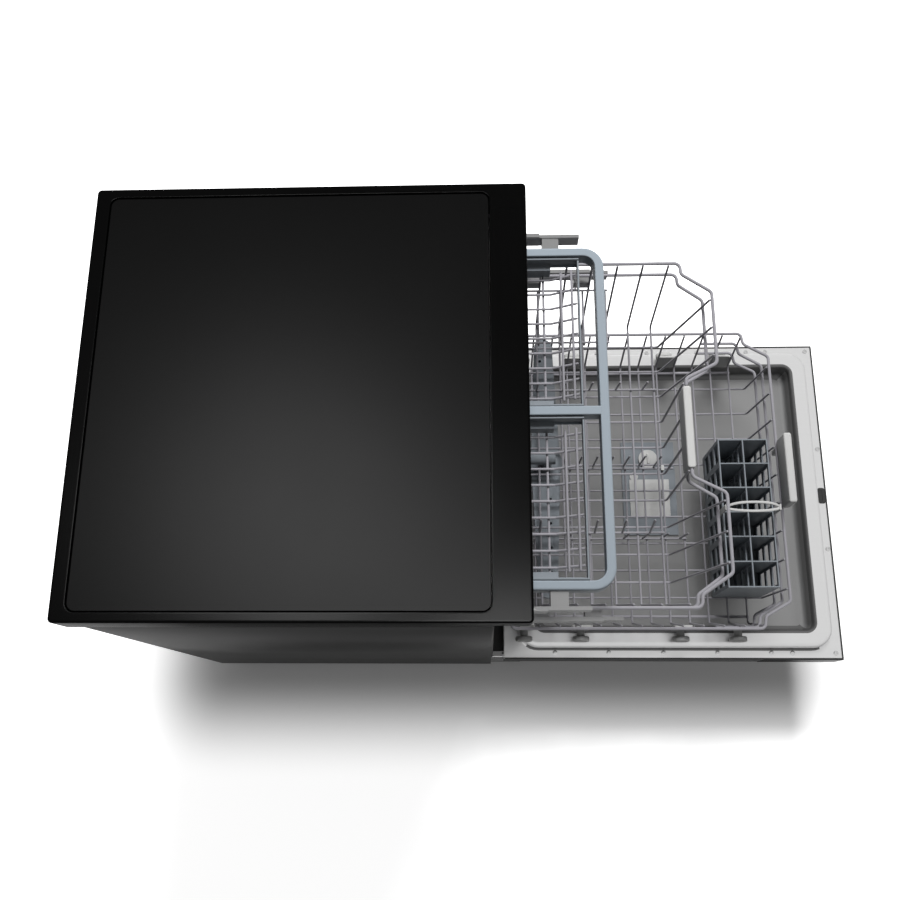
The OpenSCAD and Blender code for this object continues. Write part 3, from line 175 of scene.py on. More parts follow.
paper = add_node(tree, "BsdfDiffuse", {"Color": (0.78, 0.78, 0.78, 1)})
bright_paper = add_node(tree, "BsdfDiffuse", {"Color": (0.98, 0.98, 0.98, 1)})
lift = add_node(tree, "Emission", {"Color": white_colour, "Strength": fade.outputs["Result"]})
lifted = add_node(tree, "AddShader", {0: bright_paper.outputs[0], 1: lift.outputs[0]})
camera_sees = add_node(tree, "LightPath", {}).outputs["Is Camera Ray"]
shown = add_node(tree, "MixShader", {0: camera_sees, 1: paper.outputs[0], 2: lifted.outputs[0]})
add_node(tree, "OutputMaterial", {"Surface": shown.outputs[0]})
floor_mesh.materials.append(floor_material)
bpy.context.scene.view_settings.view_transform = "Standard"
print("floor is", floor.dimensions[0], "m wide")

# %% [markdown]
# ## Effects that several finishes share
#
# Real surfaces are never one flat colour. Two effects cover this machine: the fine, cloudy
# unevenness of moulded plastic and paint, and the long scratches of brushed steel. Each is
# a node group with named sockets, built once and used with different values.

# %% Node group helpers
def new_group(name, inputs, outputs):
    """An empty shader group with the given sockets: (name, kind, value) in and (name, kind) out."""
    group = bpy.data.node_groups.new(name, "ShaderNodeTree")
    for label, kind, value in inputs:
        socket = group.interface.new_socket(name=label, in_out="INPUT", socket_type="NodeSocket" + kind)
        socket.default_value = value
    for label, kind in outputs:
        group.interface.new_socket(name=label, in_out="OUTPUT", socket_type="NodeSocket" + kind)
    return group, group.nodes.new("NodeGroupInput").outputs, group.nodes.new("NodeGroupOutput")


def spread_about(group, value, centre, amount):
    """centre + (value - 0.5) * amount, as two math nodes."""
    away = add_node(group, "Math", {0: value, 1: 0.5}, operation="SUBTRACT")
    spread = add_node(group, "Math", {0: away.outputs[0], 1: amount, 2: centre}, operation="MULTIPLY_ADD")
    return spread.outputs[0]


def shade_by(group, colour, factor):
    """colour * factor, kept as a colour."""
    return add_node(group, "VectorMath", {0: colour, "Scale": factor}, operation="SCALE").outputs[0]


print("groups have named inputs and outputs")

# %% Moulded grain
grain, given, result = new_group("moulded_grain", [
    ("Color", "Color", (0.5, 0.5, 0.5, 1)), ("Cloud Scale", "Float", 6.0), ("Cloud Amount", "Float", 0.08),
    ("Grain Scale", "Float", 900.0), ("Roughness", "Float", 0.4), ("Roughness Spread", "Float", 0.12)],
    [("Color", "Color"), ("Roughness", "Float"), ("Height", "Float")])
place = add_node(grain, "TexCoord", {}).outputs["Object"]
cloud = add_node(grain, "TexNoise", {"Vector": place, "Scale": given["Cloud Scale"], "Detail": 4.0})
speck = add_node(grain, "TexNoise", {"Vector": place, "Scale": given["Grain Scale"], "Detail": 2.0})
cloud, speck = cloud.outputs["Fac"], speck.outputs["Fac"]
feed(grain, result, {
    "Color": shade_by(grain, given["Color"], spread_about(grain, cloud, 1.0, given["Cloud Amount"])),
    "Roughness": spread_about(grain, cloud, given["Roughness"], given["Roughness Spread"]),
    "Height": speck})
print("group", grain.name, len(grain.nodes), "nodes")

# %% Brushed lines
brushed, given, result = new_group("brushed_lines", [
    ("Color", "Color", (0.7, 0.7, 0.7, 1)), ("Along", "Vector", (4.0, 260.0, 260.0)),
    ("Line Amount", "Float", 0.10), ("Roughness", "Float", 0.3), ("Roughness Spread", "Float", 0.15)],
    [("Color", "Color"), ("Roughness", "Float"), ("Height", "Float")])
place = add_node(brushed, "TexCoord", {}).outputs["Object"]
stretch = add_node(brushed, "VectorMath", {0: place, 1: given["Along"]}, operation="MULTIPLY").outputs[0]
lines = add_node(brushed, "TexNoise", {"Vector": stretch, "Scale": 1.0, "Detail": 5.0}).outputs["Fac"]
feed(brushed, result, {
    "Color": shade_by(brushed, given["Color"], spread_about(brushed, lines, 1.0, given["Line Amount"])),
    "Roughness": spread_about(brushed, lines, given["Roughness"], given["Roughness Spread"]),
    "Height": lines})
print("group", brushed.name, len(brushed.nodes), "nodes")

# %% [markdown]
# ## Finishes
#
# Each finish is a Principled shader whose colour, roughness and bump come from one of the
# groups above. Values that are the same all over, such as how metallic a finish is or how
# strongly it mirrors, are set on the shader itself.

# %% Finish helper
def finish(name, group, values, metallic=0.0, specular=0.5, coat=0.0, bump=0.02, depth=0.0002):
    """A material whose Principled shader is fed by one group."""
    material = bpy.data.materials.new(name)
    material.use_nodes = True
    tree = material.node_tree
    effect = add_node(tree, "Group", values, node_tree=group).outputs
    relief = add_node(tree, "Bump", {"Strength": bump, "Distance": depth, "Height": effect["Height"]})
    feed(tree, tree.nodes["Principled BSDF"], {
        "Base Color": effect["Color"], "Roughness": effect["Roughness"], "Normal": relief.outputs["Normal"],
        "Metallic": metallic, "Specular IOR Level": specular, "Coat Weight": coat, "Coat Roughness": 0.08})
    return material


def grey(v):
    """A neutral colour of linear value v."""
    return (v, v, v, 1)


print("a finish is one group under one shader")

# %% Finishes
finishes = {
    "black_gloss": finish("gloss_black_moulding", grain, {
        "Color": grey(0.0006), "Cloud Amount": 0.3, "Roughness": 0.22, "Roughness Spread": 0.06},
        specular=0.02, bump=0.01),
    "black_panel": finish("satin_black_top", grain, {
        "Color": grey(0.001), "Cloud Scale": 3.0, "Cloud Amount": 0.3, "Grain Scale": 1400.0,
        "Roughness": 0.35, "Roughness Spread": 0.08}, specular=0.027, bump=0.05),
    "case_paint": finish("case_powder_paint", grain, {
        "Color": grey(0.03), "Cloud Amount": 0.1, "Grain Scale": 1600.0, "Roughness": 0.38},
        specular=0.35, bump=0.12),
    "stainless": finish("brushed_stainless", brushed, {
        "Color": grey(0.30), "Roughness": 0.34}, metallic=1.0, bump=0.05),
    "liner_rim": finish("pressed_steel_rim", brushed, {
        "Color": grey(0.62), "Along": (260.0, 4.0, 260.0), "Line Amount": 0.06, "Roughness": 0.36},
        metallic=0.85, bump=0.03),
    # Painted shade: the dish and its walls are the rim's steel, a little rougher, and painted darker where
    # shade falls.
    "liner_dish": finish("rough_steel_dish_painted_shade", brushed, {
        "Color": grey(0.27), "Along": (260.0, 4.0, 260.0), "Line Amount": 0.08, "Roughness": 0.5},
        metallic=0.7, bump=0.03),
    "liner_wall": finish("steel_wall_painted_shade", brushed, {
        "Color": grey(0.12), "Along": (260.0, 4.0, 260.0), "Line Amount": 0.1, "Roughness": 0.45},
        metallic=0.7, bump=0.03),
    "bright_steel": finish("plated_steel", grain, {
        "Color": grey(0.55), "Roughness": 0.28, "Cloud Amount": 0.15}, metallic=1.0, bump=0.05),
    "wire_coat": finish("coated_wire", grain, {
        "Color": (0.24, 0.235, 0.255, 1), "Cloud Scale": 30.0, "Cloud Amount": 0.2, "Roughness": 0.34},
        metallic=0.2, specular=0.4, bump=0.03),
    "blue_grey": finish("blue_grey_plastic", grain, {
        "Color": (0.20, 0.23, 0.258, 1), "Roughness": 0.42}, specular=0.35, bump=0.08),
    "grey_plastic": finish("mid_grey_plastic", grain, {
        "Color": (0.15, 0.165, 0.18, 1), "Roughness": 0.45}, specular=0.35, bump=0.1),
    "light_plastic": finish("light_warm_plastic", grain, {
        "Color": (0.37, 0.37, 0.365, 1), "Roughness": 0.4}, specular=0.35, bump=0.08),
    "dark_plastic": finish("black_moulded_plastic", grain, {
        "Color": grey(0.012), "Roughness": 0.5}, bump=0.15),
    "soft_seal": finish("seal_rubber", grain, {
        "Color": grey(0.012), "Roughness": 0.7, "Cloud Amount": 0.25}, specular=0.25, bump=0.2),
    "window": finish("smoked_window", grain, {
        "Color": grey(0.003), "Roughness": 0.05, "Roughness Spread": 0.02}, coat=0.5, bump=0.0),
    "weight": finish("cast_ballast", grain, {
        "Color": grey(0.06), "Grain Scale": 350.0, "Roughness": 0.8}, bump=0.5, depth=0.0006),
}
slot_of = {part["node"]: part["material_slot"] for part in frame["record"]["subparts"]}
for name, obj in nodes.items():
    obj.data.materials.clear()
    obj.data.materials.append(finishes[slot_of[name]])
print(len(finishes), "finishes")

# %% [markdown]
# ## Tools for the shapes
#
# Almost everything here is a surface on a grid: a set of rings with the same number of
# points, joined by four-sided faces. A pressed sheet is a stack of rectangles with round
# corners, a wire is a circle carried along a path, and a wheel is a profile turned about an
# axis. The lengths below are in millimetres, as on a maker's drawing, and become metres when
# the mesh is made. Working with whole arrays keeps each shape a short formula.

# %% Grids become meshes
mm = 0.001
same_place = 2e-6


def box_mm(node):
    """Lowest and highest corner of a CAD node: metres times 1000."""
    return np.array(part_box(node)) * 1000


def sew(grid, around=True, along=False, lids=False):
    """Faces of a grid of rings. Point j of ring i has the number i * m + j, and each face joins
    two neighbours of one ring with the same two of the next. Lids close the first and last ring."""
    n, m = grid.shape[:2]
    number = np.arange(n * m).reshape(n, m)
    wide = np.hstack([number, number[:, :1]]) if around else number
    wide = np.vstack([wide, wide[:1]]) if along else wide
    quads = np.stack([wide[:-1, :-1], wide[:-1, 1:], wide[1:, 1:], wide[1:, :-1]], -1).reshape(-1, 4)
    ends = [number[0].tolist(), number[-1][::-1].tolist()] if lids else []
    return grid.reshape(-1, 3), quads.tolist() + ends


def make(name, parts, look, body, stands_for=(), smooth=35, up=False, looks=None):
    """One object from several sewn grids in millimetres. Doubles are merged and the normals turned
    outwards; up turns an open sheet's face to +Z. looks gives the finish number of every face."""
    points, faces, start = [], [], 0
    for grid_points, grid_faces in parts:
        points.append(grid_points)
        faces += [[k + start for k in face] for face in grid_faces]
        start += len(grid_points)
    mesh = bpy.data.meshes.new(name)
    mesh.from_pydata(np.vstack(points) * mm, [], faces)
    if looks is not None:
        mesh.polygons.foreach_set("material_index", np.asarray(looks, dtype=np.int32))
    shape = bmesh.new()
    shape.from_mesh(mesh)
    bmesh.ops.remove_doubles(shape, verts=shape.verts, dist=same_place)
    bmesh.ops.recalc_face_normals(shape, faces=shape.faces)
    if up and sum(f.normal.z * f.calc_area() for f in shape.faces) < 0:
        bmesh.ops.reverse_faces(shape, faces=shape.faces)
    shape.to_mesh(mesh)
    shape.free()
    mesh.shade_smooth()
    mesh.set_sharp_from_angle(angle=math.radians(smooth))
    piece = bpy.data.objects.new(name, mesh)
    bpy.context.scene.collection.objects.link(piece)
    for key in [look] if isinstance(look, str) else look:
        mesh.materials.append(finishes[key])
    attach(piece, body)
    if stands_for:
        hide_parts(*stands_for)
    return piece


def finish_with(piece, kind, **values):
    """A modifier of the given kind, with its values."""
    change = piece.modifiers.new(kind.lower(), kind)
    for key, value in values.items():
        setattr(change, key, value)
    return change


print("grids are sewn into meshes, in units of", mm, "m")

# %% Rectangles with round corners
def stack(rows, steps=7):
    """One ring for each row (x0, x1, y0, y1, corner radius, z). Each corner is a quarter circle:
    its centre plus the radius times the cosine and sine of the angle."""
    x0, x1, y0, y1, r, z = np.array(rows, float).T[:, :, None]
    a = np.radians(np.linspace(0, 90, steps))[None]
    corners = ((x1 - r, y1 - r), (x0 + r, y1 - r), (x0 + r, y0 + r), (x1 - r, y0 + r))
    x, y = [], []
    for quarter, (cx, cy) in enumerate(corners):
        x.append(cx + r * np.cos(a + math.radians(90 * quarter)))
        y.append(cy + r * np.sin(a + math.radians(90 * quarter)))
    x, y = np.hstack(x), np.hstack(y)
    return np.stack([x, y, np.broadcast_to(z, x.shape)], -1)


def slab(x, y, z, corner=2.0, edge=1.0, steps=4):
    """Block with round corners and rounded upper and lower edges: the outline moves in by
    edge * (1 - sin a) while the height moves by edge * (1 - cos a)."""
    a = np.radians(np.linspace(0, 90, steps))
    inset, rise = edge * (1 - np.sin(a)), edge * (1 - np.cos(a))
    inset = np.concatenate([[edge * 1.5], inset, inset[::-1], [edge * 1.5]])
    height = np.concatenate([[z[0]], z[0] + rise, (z[1] - rise)[::-1], [z[1]]])
    rows = [(x[0] + i, x[1] - i, y[0] + i, y[1] - i, max(corner - i, 0.05), h) for i, h in zip(inset, height)]
    return sew(stack(rows), lids=True)


print("a slab has", len(slab((0, 10), (0, 10), (0, 10))[1]), "faces")

# %% Paths and wires
def unit(v):
    """The vector over its own length."""
    return v / np.linalg.norm(v, axis=-1, keepdims=True)


def bent(points, radius, steps=6):
    """A polyline with round bends. At a corner b the bend starts radius * tan(turn / 2) before it,
    and its centre lies on the bisector at radius / cos(turn / 2)."""
    p = np.array(points, float)
    u, v = unit(p[:-2] - p[1:-1]), unit(p[2:] - p[1:-1])
    turn = np.pi - np.arccos(np.clip((u * v).sum(-1), -1, 1))[:, None]
    centre = p[1:-1] + unit(u + v) * radius / np.cos(turn / 2)
    x = unit(p[1:-1] + u * radius * np.tan(turn / 2) - centre)
    y = unit(-u - (-u * x).sum(-1, keepdims=True) * x)
    t = np.linspace(0, 1, steps)[None] * turn
    arcs = centre[:, None] + radius * (np.cos(t)[..., None] * x[:, None] + np.sin(t)[..., None] * y[:, None])
    return np.vstack([p[:1], arcs.reshape(-1, p.shape[1]), p[-1:]])


def carry(path, profile, flat, closed=False, scale=None):
    """Carry a flat profile (a, b) along a path: point = path + a * side + b * flat, where side is
    the path's direction crossed with the fixed direction flat."""
    ahead = np.roll(path, -1, 0) - np.roll(path, 1, 0) if closed else np.gradient(path, axis=0)
    flat = np.array(flat, float)
    side = unit(np.cross(unit(ahead), flat))
    scale = np.ones(len(path)) if scale is None else scale
    a, b = np.array(profile, float).T
    return path[:, None] + scale[:, None, None] * (a[None, :, None] * side[:, None] + b[None, :, None] * flat)


def circle(radius, sides=8):
    """Points of a circle: radius times the cosine and sine of the angle."""
    a = np.linspace(0, 2 * np.pi, sides, endpoint=False)
    return np.stack([radius * np.cos(a), radius * np.sin(a)], -1)


def wire(points, radius, flat, bend=6.0, sides=8):
    """A round wire that lies in one plane, with rounded ends: over the last radius of its length
    its own radius falls as the cosine of an angle."""
    path = bent(points, bend) if len(points) > 2 else np.array(points, float)
    a = np.radians([75, 50, 25])
    first, last = unit(path[0] - path[1]), unit(path[-1] - path[-2])
    path[0], path[-1] = path[0] - first * radius, path[-1] - last * radius
    scale = np.concatenate([np.cos(a), np.ones(len(path)), np.cos(a[::-1])])
    path = np.vstack([path[0] + first * radius * np.sin(a)[:, None], path,
                      path[-1] + last * radius * np.sin(a[::-1])[:, None]])
    return sew(carry(path, circle(radius, sides), flat, scale=scale), lids=True)


def turned(profile, centre, axis="z", steps=28, closed=False):
    """A profile of (height, radius) turned about an axis through the centre: the height runs along the
    axis, and across it go the radius times the cosine and the radius times the sine of the angle."""
    along, first, second = {"x": (0, 1, 2), "y": (1, 2, 0), "z": (2, 0, 1)}[axis]
    h, r = np.array(profile, float).T
    a = np.linspace(0, 2 * np.pi, steps, endpoint=False)[:, None]
    grid = np.empty((steps, len(h), 3))
    grid[..., along] = centre[along] + h
    grid[..., first] = centre[first] + r * np.cos(a)
    grid[..., second] = centre[second] + r * np.sin(a)
    return sew(grid, around=closed, along=True)


def flipped(part):
    """The same part on the other side of the machine: x changes its sign."""
    points, faces = part
    return points * np.array([-1.0, 1, 1]), faces


def both(parts):
    """Parts and their mirror images."""
    return list(parts) + [flipped(p) for p in parts]


print("a straight wire has", len(wire([(0, 0, 0), (10, 0, 0)], 1.0, (0, 0, 1))[1]), "faces")

# %% [markdown]
# ## The worktop
#
# The top is a black moulded frame round a satin panel that sits 2 mm lower, with a hairline
# gap that catches a little light. The frame is one closed skin: its rings go from the
# bottom of the outer wall over the rounded rim and down into the opening. Modelling the
# gap, and not painting it, gives the thin line that the picture shows all the way round.

# %% Worktop frame
lo, hi = box_mm("worktop_frame")
half_w, front, rear, top = hi[0], lo[1], hi[1], hi[2]
panel_x, panel_y, panel_gap = half_w - 13.5, (front + 50, rear - 20), 1
frame_bottom, panel_bed, frame_wall = top - 30, top - 8.9, 3.2


def worktop_row(inset, z):
    """Ring of the outer wall, moved in by inset."""
    return (-half_w + inset, half_w - inset, front + inset, rear - inset, max(6 - inset, 1), z)


def opening_row(out, z):
    """Ring of the opening for the panel, moved out by out."""
    return (-panel_x - out, panel_x + out, panel_y[0] - out, panel_y[1] + out, 12 + out, z)


rim = np.radians(np.linspace(0, 90, 6))
rows = [worktop_row(0.6, frame_bottom), worktop_row(0, frame_bottom + 0.6)]
rows += [worktop_row(2.5 * (1 - math.cos(t)), top - 2.5 + 2.5 * math.sin(t)) for t in rim]
rows += [worktop_row(4, top), opening_row(2.2, top)]
rows += [opening_row(1 - math.sin(t), top - 1 + math.cos(t)) for t in rim]
rows += [opening_row(0, top - 6.5), opening_row(0, panel_bed), worktop_row(frame_wall, panel_bed),
         worktop_row(frame_wall, frame_bottom)]
frame_part = sew(stack(rows), along=True)
print("worktop is", round(2 * half_w), "by", round(rear - front), "mm")

# %% Worktop skirt and panel
skirt_x, skirt_y, skirt_z = half_w - 1.5, (front + 49.5, rear - 1.5), top - 40
skirt_path = bent([(-skirt_x, skirt_y[0], skirt_z), (-skirt_x, skirt_y[1], skirt_z),
                   (skirt_x, skirt_y[1], skirt_z), (skirt_x, skirt_y[0], skirt_z)], 4.5)
skirt_profile = [(-1.5, -9), (-0.9, -10), (0.9, -10), (1.5, -9), (1.5, 11), (-1.5, 11)]
skirt = sew(carry(skirt_path, skirt_profile, (0, 0, 1)), lids=True)
rim_piece = make("worktop_rim", [frame_part, skirt], "black_gloss", "cabinet", ["worktop_frame"])
sheet = slab((panel_gap - panel_x, panel_x - panel_gap), (panel_y[0] + panel_gap, panel_y[1] - panel_gap),
             (top - 6, top - 2), 11, 0.7)
sheet_piece = make("worktop_sheet", [sheet], "black_panel", "cabinet", ["worktop_panel"])
for piece in (rim_piece, sheet_piece):
    worktop_only.objects.link(piece)
print("panel is", round(2 * (panel_x - panel_gap)), "mm wide")

# %% [markdown]
# ## The casing
#
# Each side is one bent sheet: it runs from the rear corner to the front, turns round a
# tight fold and ends at the tub. A sheet of even thickness is a line carried upwards and
# given its millimetre by a Solidify modifier, which is how a bent panel is made for real.

# %% Side panels
def bent_sheet(line, z, radius=2.5):
    """A line in plan, with round folds, drawn up through the heights z."""
    path = np.array([(x, y, 0) for x, y in line], float)
    path = bent(path, radius) if len(line) > 2 else path
    grid = np.repeat(path[None], len(z), 0)
    grid[..., 2] = np.array(z, float)[:, None]
    return sew(grid, around=False)


lo, hi = box_mm("side_panel_right")
wall_x, inner_x, front_y, fold_z = hi[0] - 0.5, lo[0] + 0.3, lo[1] + 0.5, 232
for side, sign in (("left", -1), ("right", 1)):
    wall = [(sign * wall_x, hi[1]), (sign * wall_x, front_y + 2.5)]
    fold = [wall[1], (sign * wall_x, front_y), (sign * inner_x, front_y)]
    sheet_parts = [bent_sheet(wall, [lo[2], fold_z, hi[2]]), bent_sheet(fold, [fold_z, hi[2]], 2.4)]
    side_piece = make("side_" + side, sheet_parts, "case_paint", "cabinet", ["side_panel_" + side], smooth=60)
    finish_with(side_piece, "SOLIDIFY", thickness=0.001, offset=0)
print("side panels are", round(hi[2] - lo[2]), "mm high")

# %% [markdown]
# ## The door's inner skin
#
# The steel inside of the door is pressed from one sheet. A flat flange carries the screws,
# a soft step lifts the middle so that it seals inside the tub, and a deep dish is drawn
# down into it. All of that is one stack of rings, seen from the outside in, so the light
# runs over it without a seam. The dish is a little rougher than the rim and darker as painted
# shade: its floor takes a second finish, and its walls and the foot of the step a third, in
# deeper painted shade, chosen by the number of the ring and of the face within it.

# %% Door skin
hinge_y, hinge_z = front + 19.5, 218.0
flange, raised, recess = (298, -8, 593, 1.5), (279, 18, 574, 36), (248, 52, 541, 14)
flange_h, raised_h, floor_h = 25, 45, 7
step_r, roll_r, dish_r = 9, 6, 10


def on_door(part):
    """From the door's own frame (x, distance from the hinge, height) to the machine's frame: y is the
    hinge's y minus the distance, and z the hinge's height plus the height."""
    points, faces = part
    return np.stack([points[:, 0], hinge_y - points[:, 1], hinge_z + points[:, 2]], -1), faces


def ring(outline, out, h, corner=None):
    """Ring of the skin at height h: the outline (half width, start, end, corner radius) moved out on
    all sides. Its corner radius grows by as much, unless it is given."""
    half, start, end, r = outline
    return (-half - out, half + out, start - out, end + out, r + out if corner is None else corner, h)


arc = np.radians(np.linspace(0, 90, 6))
flat_rows = [ring(flange, 0, flange_h - 0.7), ring(flange, 0, flange_h - 0.2),
             ring(flange, -0.3, flange_h, 1.5), ring(flange, -2, flange_h, 1.5)]
step_rows = [ring(raised, 4, flange_h), ring(raised, 1.5, flange_h + 0.5), ring(raised, 0.3, flange_h + 2.5)]
step_rows += [ring(raised, -i, h) for i, h in
              zip(step_r * (1 - np.cos(arc)), raised_h - step_r * (1 - np.sin(arc)))]
step_rows += [ring((269, 29, 563, 25), 0, raised_h), ring((256, 43, 550, 22), 0, raised_h)]
roll_rows = [ring(recess, i, h) for i, h in
             zip(roll_r * (1 - np.sin(arc)), raised_h - roll_r * (1 - np.cos(arc)))]
wall_rows = [ring(recess, -0.5, 34, 13.8)]
wall_rows += [ring(recess, -1 - i, h, 13.5 - i * 0.5) for i, h in
              zip(dish_r * (1 - np.cos(arc)), floor_h + dish_r * (1 - np.sin(arc)))]
floor_rows = [ring((230, 70, 523, 6), 0, floor_h), (-70, 110, 220, 320, 3, floor_h),
              (-66, 106, 224, 316, 1, floor_h)]
skin_grid = stack(flat_rows + step_rows + roll_rows + wall_rows + floor_rows, 9)
print("door skin has", len(skin_grid), "rings")

# %% Where the skin takes painted shade
# A ring has 9 points at each corner: its faces 4 to 12 span the far end, 15 to 20 the left side.
shaded_dish_look, shaded_wall_look = 1, 2
end_side, left_side = slice(4, 13), slice(15, 21)
step_at, roll_at = len(flat_rows), len(flat_rows + step_rows)
wall_at = roll_at + len(roll_rows)
floor_at = wall_at + len(wall_rows)
row_look = np.zeros((skin_grid.shape[0] - 1, skin_grid.shape[1]), int)
# Painted shade: the foot of the step on the left, the roll into the dish and the dish's walls take the darkest
# finish; the dish's floor and far end take a lighter one.
row_look[step_at:step_at + 3, left_side] = shaded_wall_look
row_look[roll_at:floor_at - 1] = shaded_wall_look
row_look[wall_at:floor_at - 1, end_side] = shaded_dish_look
row_look[floor_at - 1:] = shaded_dish_look
skin = make("door_skin", [on_door(sew(skin_grid))], ["liner_rim", "liner_dish", "liner_wall"], "door",
            ["door_liner"], smooth=50, up=True, looks=row_look.ravel())
finish_with(skin, "SOLIDIFY", thickness=0.0008, offset=-1)
print("door skin has", len(skin.data.polygons), "faces")

# %% Edge trim of the door
trim_x, trim_u = 296.9, (-7, 592.3)
trim_path = bent([(-trim_x, trim_u[0], 0), (-trim_x, trim_u[1], 0), (trim_x, trim_u[1], 0),
                  (trim_x, trim_u[0], 0)], 2.0)
trim_profile = [(-1.5, 23.4), (-1.5, 25.3), (-1.1, 25.7), (1.1, 25.7), (1.5, 25.3), (1.5, 23.4)]
trim = sew(carry(trim_path, trim_profile, (0, 0, 1)), lids=True)
make("door_edge_trim", [on_door(trim)], "dark_plastic", "door")
print("edge trim has", len(trim[1]), "faces and runs round three sides of the door")

# %% [markdown]
# ## Screws, latch and small moulded pieces
#
# Seven screws a side and two at the far end hold the skin to the door. Their heads are
# shallow domes with a socket, so they show as small bright rings. The latch is a black
# pocket in the flange. The wheels of the lower rack and the machine's feet are turned
# profiles too.

# %% Screws
screw_u = [84, 180, 277, 373, 468, 505, 581]
head = [(0, 4.2), (0.5, 4.2), (1.1, 3.6), (1.5, 2.4), (1.6, 1.7), (0.9, 1.5), (0.7, 0.0)]
dome = [(h + flange_h + 0.02, r) for h, r in head]
screws = [turned(dome, (x, u, 0), steps=16) for x in (-287, 287) for u in screw_u]
screws += [turned(dome, (x, 586, 0), steps=16) for x in (-100, 90)]
make("door_skin_screws", [on_door(s) for s in screws], "bright_steel", "door", ["door_screws"], smooth=40)
print(len(screws), "screws")

# %% Latch pocket
lip = [(-15, 15, 578, 591, 4, 25.05), (-14.6, 14.6, 578.4, 590.6, 3.6, 25.7),
       (-13.5, 13.5, 579, 590, 2.6, 25.9), (-10, 10, 580, 586, 1.5, 25.7),
       (-9.5, 9.5, 580.5, 585.5, 1, 25.1)]
make("latch_pocket", [on_door(sew(stack(lip), lids=True))], "dark_plastic", "door")
print("latch pocket is", lip[0][1] - lip[0][0], "mm wide")

# %% Wheels of the lower rack
half_wheel = [(0.0, 15.0), (2.2, 15.0), (3.6, 14.5), (4.5, 13.2), (4.5, 12.2), (3.4, 11.4),
              (2.6, 10.6), (2.6, 7.4), (3.6, 6.8), (4.5, 6.4), (4.5, 4.1)]
wheel_profile = half_wheel + [(-h, r) for h, r in half_wheel[::-1][:-1]]
half_width = 4.5
for k in (1, 2, 3, 4):
    lo, hi = box_mm("rack_wheels_%d" % k)
    wheel_x, wheel_y, wheel_z = hi[0] - half_width, (lo[1] + hi[1]) / 2, (lo[2] + hi[2]) / 2
    wheel = turned(wheel_profile, (wheel_x, wheel_y, wheel_z), "x", 32, closed=True)
    make("wheels_pair_%d" % k, both([wheel]), "light_plastic", "wheels_%d" % k, ["rack_wheels_%d" % k])
print("wheels are", round(hi[1] - lo[1], 1), "mm across")

# %% Feet
lo, hi = box_mm("feet")
foot_r = 19
foot_profile = [(0, 0), (0, foot_r - 1.5), (1.2, foot_r), (6.5, foot_r), (9, 17), (9, 9.5), (10, 9), (24, 9),
                (24.6, 5), (53, 5), (53, 0)]
foot_x, foot_y = hi[0] - foot_r, (lo[1] + foot_r, hi[1] - foot_r)
feet = both([turned(foot_profile, (foot_x, y, 0), steps=32) for y in foot_y])
make("levelling_feet", feet, "dark_plastic", "cabinet", ["feet"])
print("feet at", round(foot_x), [round(y) for y in foot_y])

# %% [markdown]
# ## The cutlery tray
#
# The top tray is a blue-grey moulding: a rounded rim with a straight inner wall and a bar
# down the middle. Two wire inserts hang in it. The rim is a closed ring of outlines, and
# the inserts' wires are round bars bent as the real ones are.

# %% Tray frame
lo, hi = box_mm("tray_frame")
band = 13.0
tray_top = hi[2]


def tray_row(inset, z):
    """Ring of the tray's rim, moved in by inset."""
    return (lo[0] + inset, hi[0] - inset, lo[1] + inset, hi[1] - inset, 30 - inset, z)


rows = [tray_row(1.0, lo[2]), tray_row(0, lo[2] + 1)]
rows += [tray_row(3.2 * (1 - math.cos(t)), hi[2] - 3.2 + 3.2 * math.sin(t)) for t in rim]
rows += [tray_row(5, hi[2]), tray_row(band - 2.4, hi[2])]
rows += [tray_row(band - 1.6 * (1 - math.sin(t)), hi[2] - 1.6 + 1.6 * math.cos(t)) for t in rim]
rows += [tray_row(band, lo[2] + 0.6), tray_row(band - 0.6, lo[2])]
middle_bar = slab((-band / 2, band / 2), (lo[1] + band - 3, hi[1] - band + 3), (lo[2], hi[2] - 0.2), 0.5, 1.6)
ledge_y, ledge_z = (lo[1] + band + 22, hi[1] - band - 14), (lo[2], lo[2] + 2.5)
ledges = both([slab((hi[0] - band - 7, hi[0] - band + 2), ledge_y, ledge_z, 1, 0.5),
               slab((band / 2 - 2, band / 2 + 7), ledge_y, ledge_z, 1, 0.5)])
tray_parts = [sew(stack(rows, 10), along=True), middle_bar] + ledges
make("tray_rim", tray_parts, "blue_grey", "tray", ["tray_frame"])
print("tray is", round(hi[0] - lo[0]), "by", round(hi[1] - lo[1]), "mm")

# %% Insert wires
thin, thick, touch_gap = 1.8, 2.6, 0.02
tray_half, cheek_gap, cheek_in, cheek_wall = 247, 1.5, 12.52, 2.5
lo, hi = box_mm("tray_insert_cheeks")
wire_x = (band / 2 + cheek_gap + cheek_in, tray_half - band - cheek_gap - cheek_in)
cheek_z, floor_z = tray_top - 24 + cheek_wall + touch_gap, tray_top - 40
slope_top = np.array([lo[1] + cheek_wall + thin / 2, cheek_z + 6])
slope_foot = np.array([lo[1] + 40, floor_z + 3 * thin + touch_gap])
slope = unit(slope_top - slope_foot)
inserts = [wire([(wire_x[0], y, floor_z + thin), (wire_x[1], y, floor_z + thin)], thin, (0, 0, 1))
           for y in np.linspace(lo[1] + 50, hi[1] - 10, 6)]
inserts += [wire([(x, *slope_top), (x, *slope_foot), (x, hi[1] - cheek_wall, slope_foot[1])], thin, (1, 0, 0))
            for x in np.linspace(wire_x[0] + 8, wire_x[1] - 8, 9)]
for t in (0.45, 0.85):
    below = np.array([slope[1], -slope[0]]) * (2 * thin + touch_gap)
    y, z = slope_foot + t * (slope_top - slope_foot) + below
    inserts.append(wire([(wire_x[0], y, z), (wire_x[1], y, z)], thin, (0, 0, 1)))
make("insert_bars", both(inserts), "wire_coat", "tray", ["tray_insert_wires"])
print(2 * len(inserts), "insert wires")

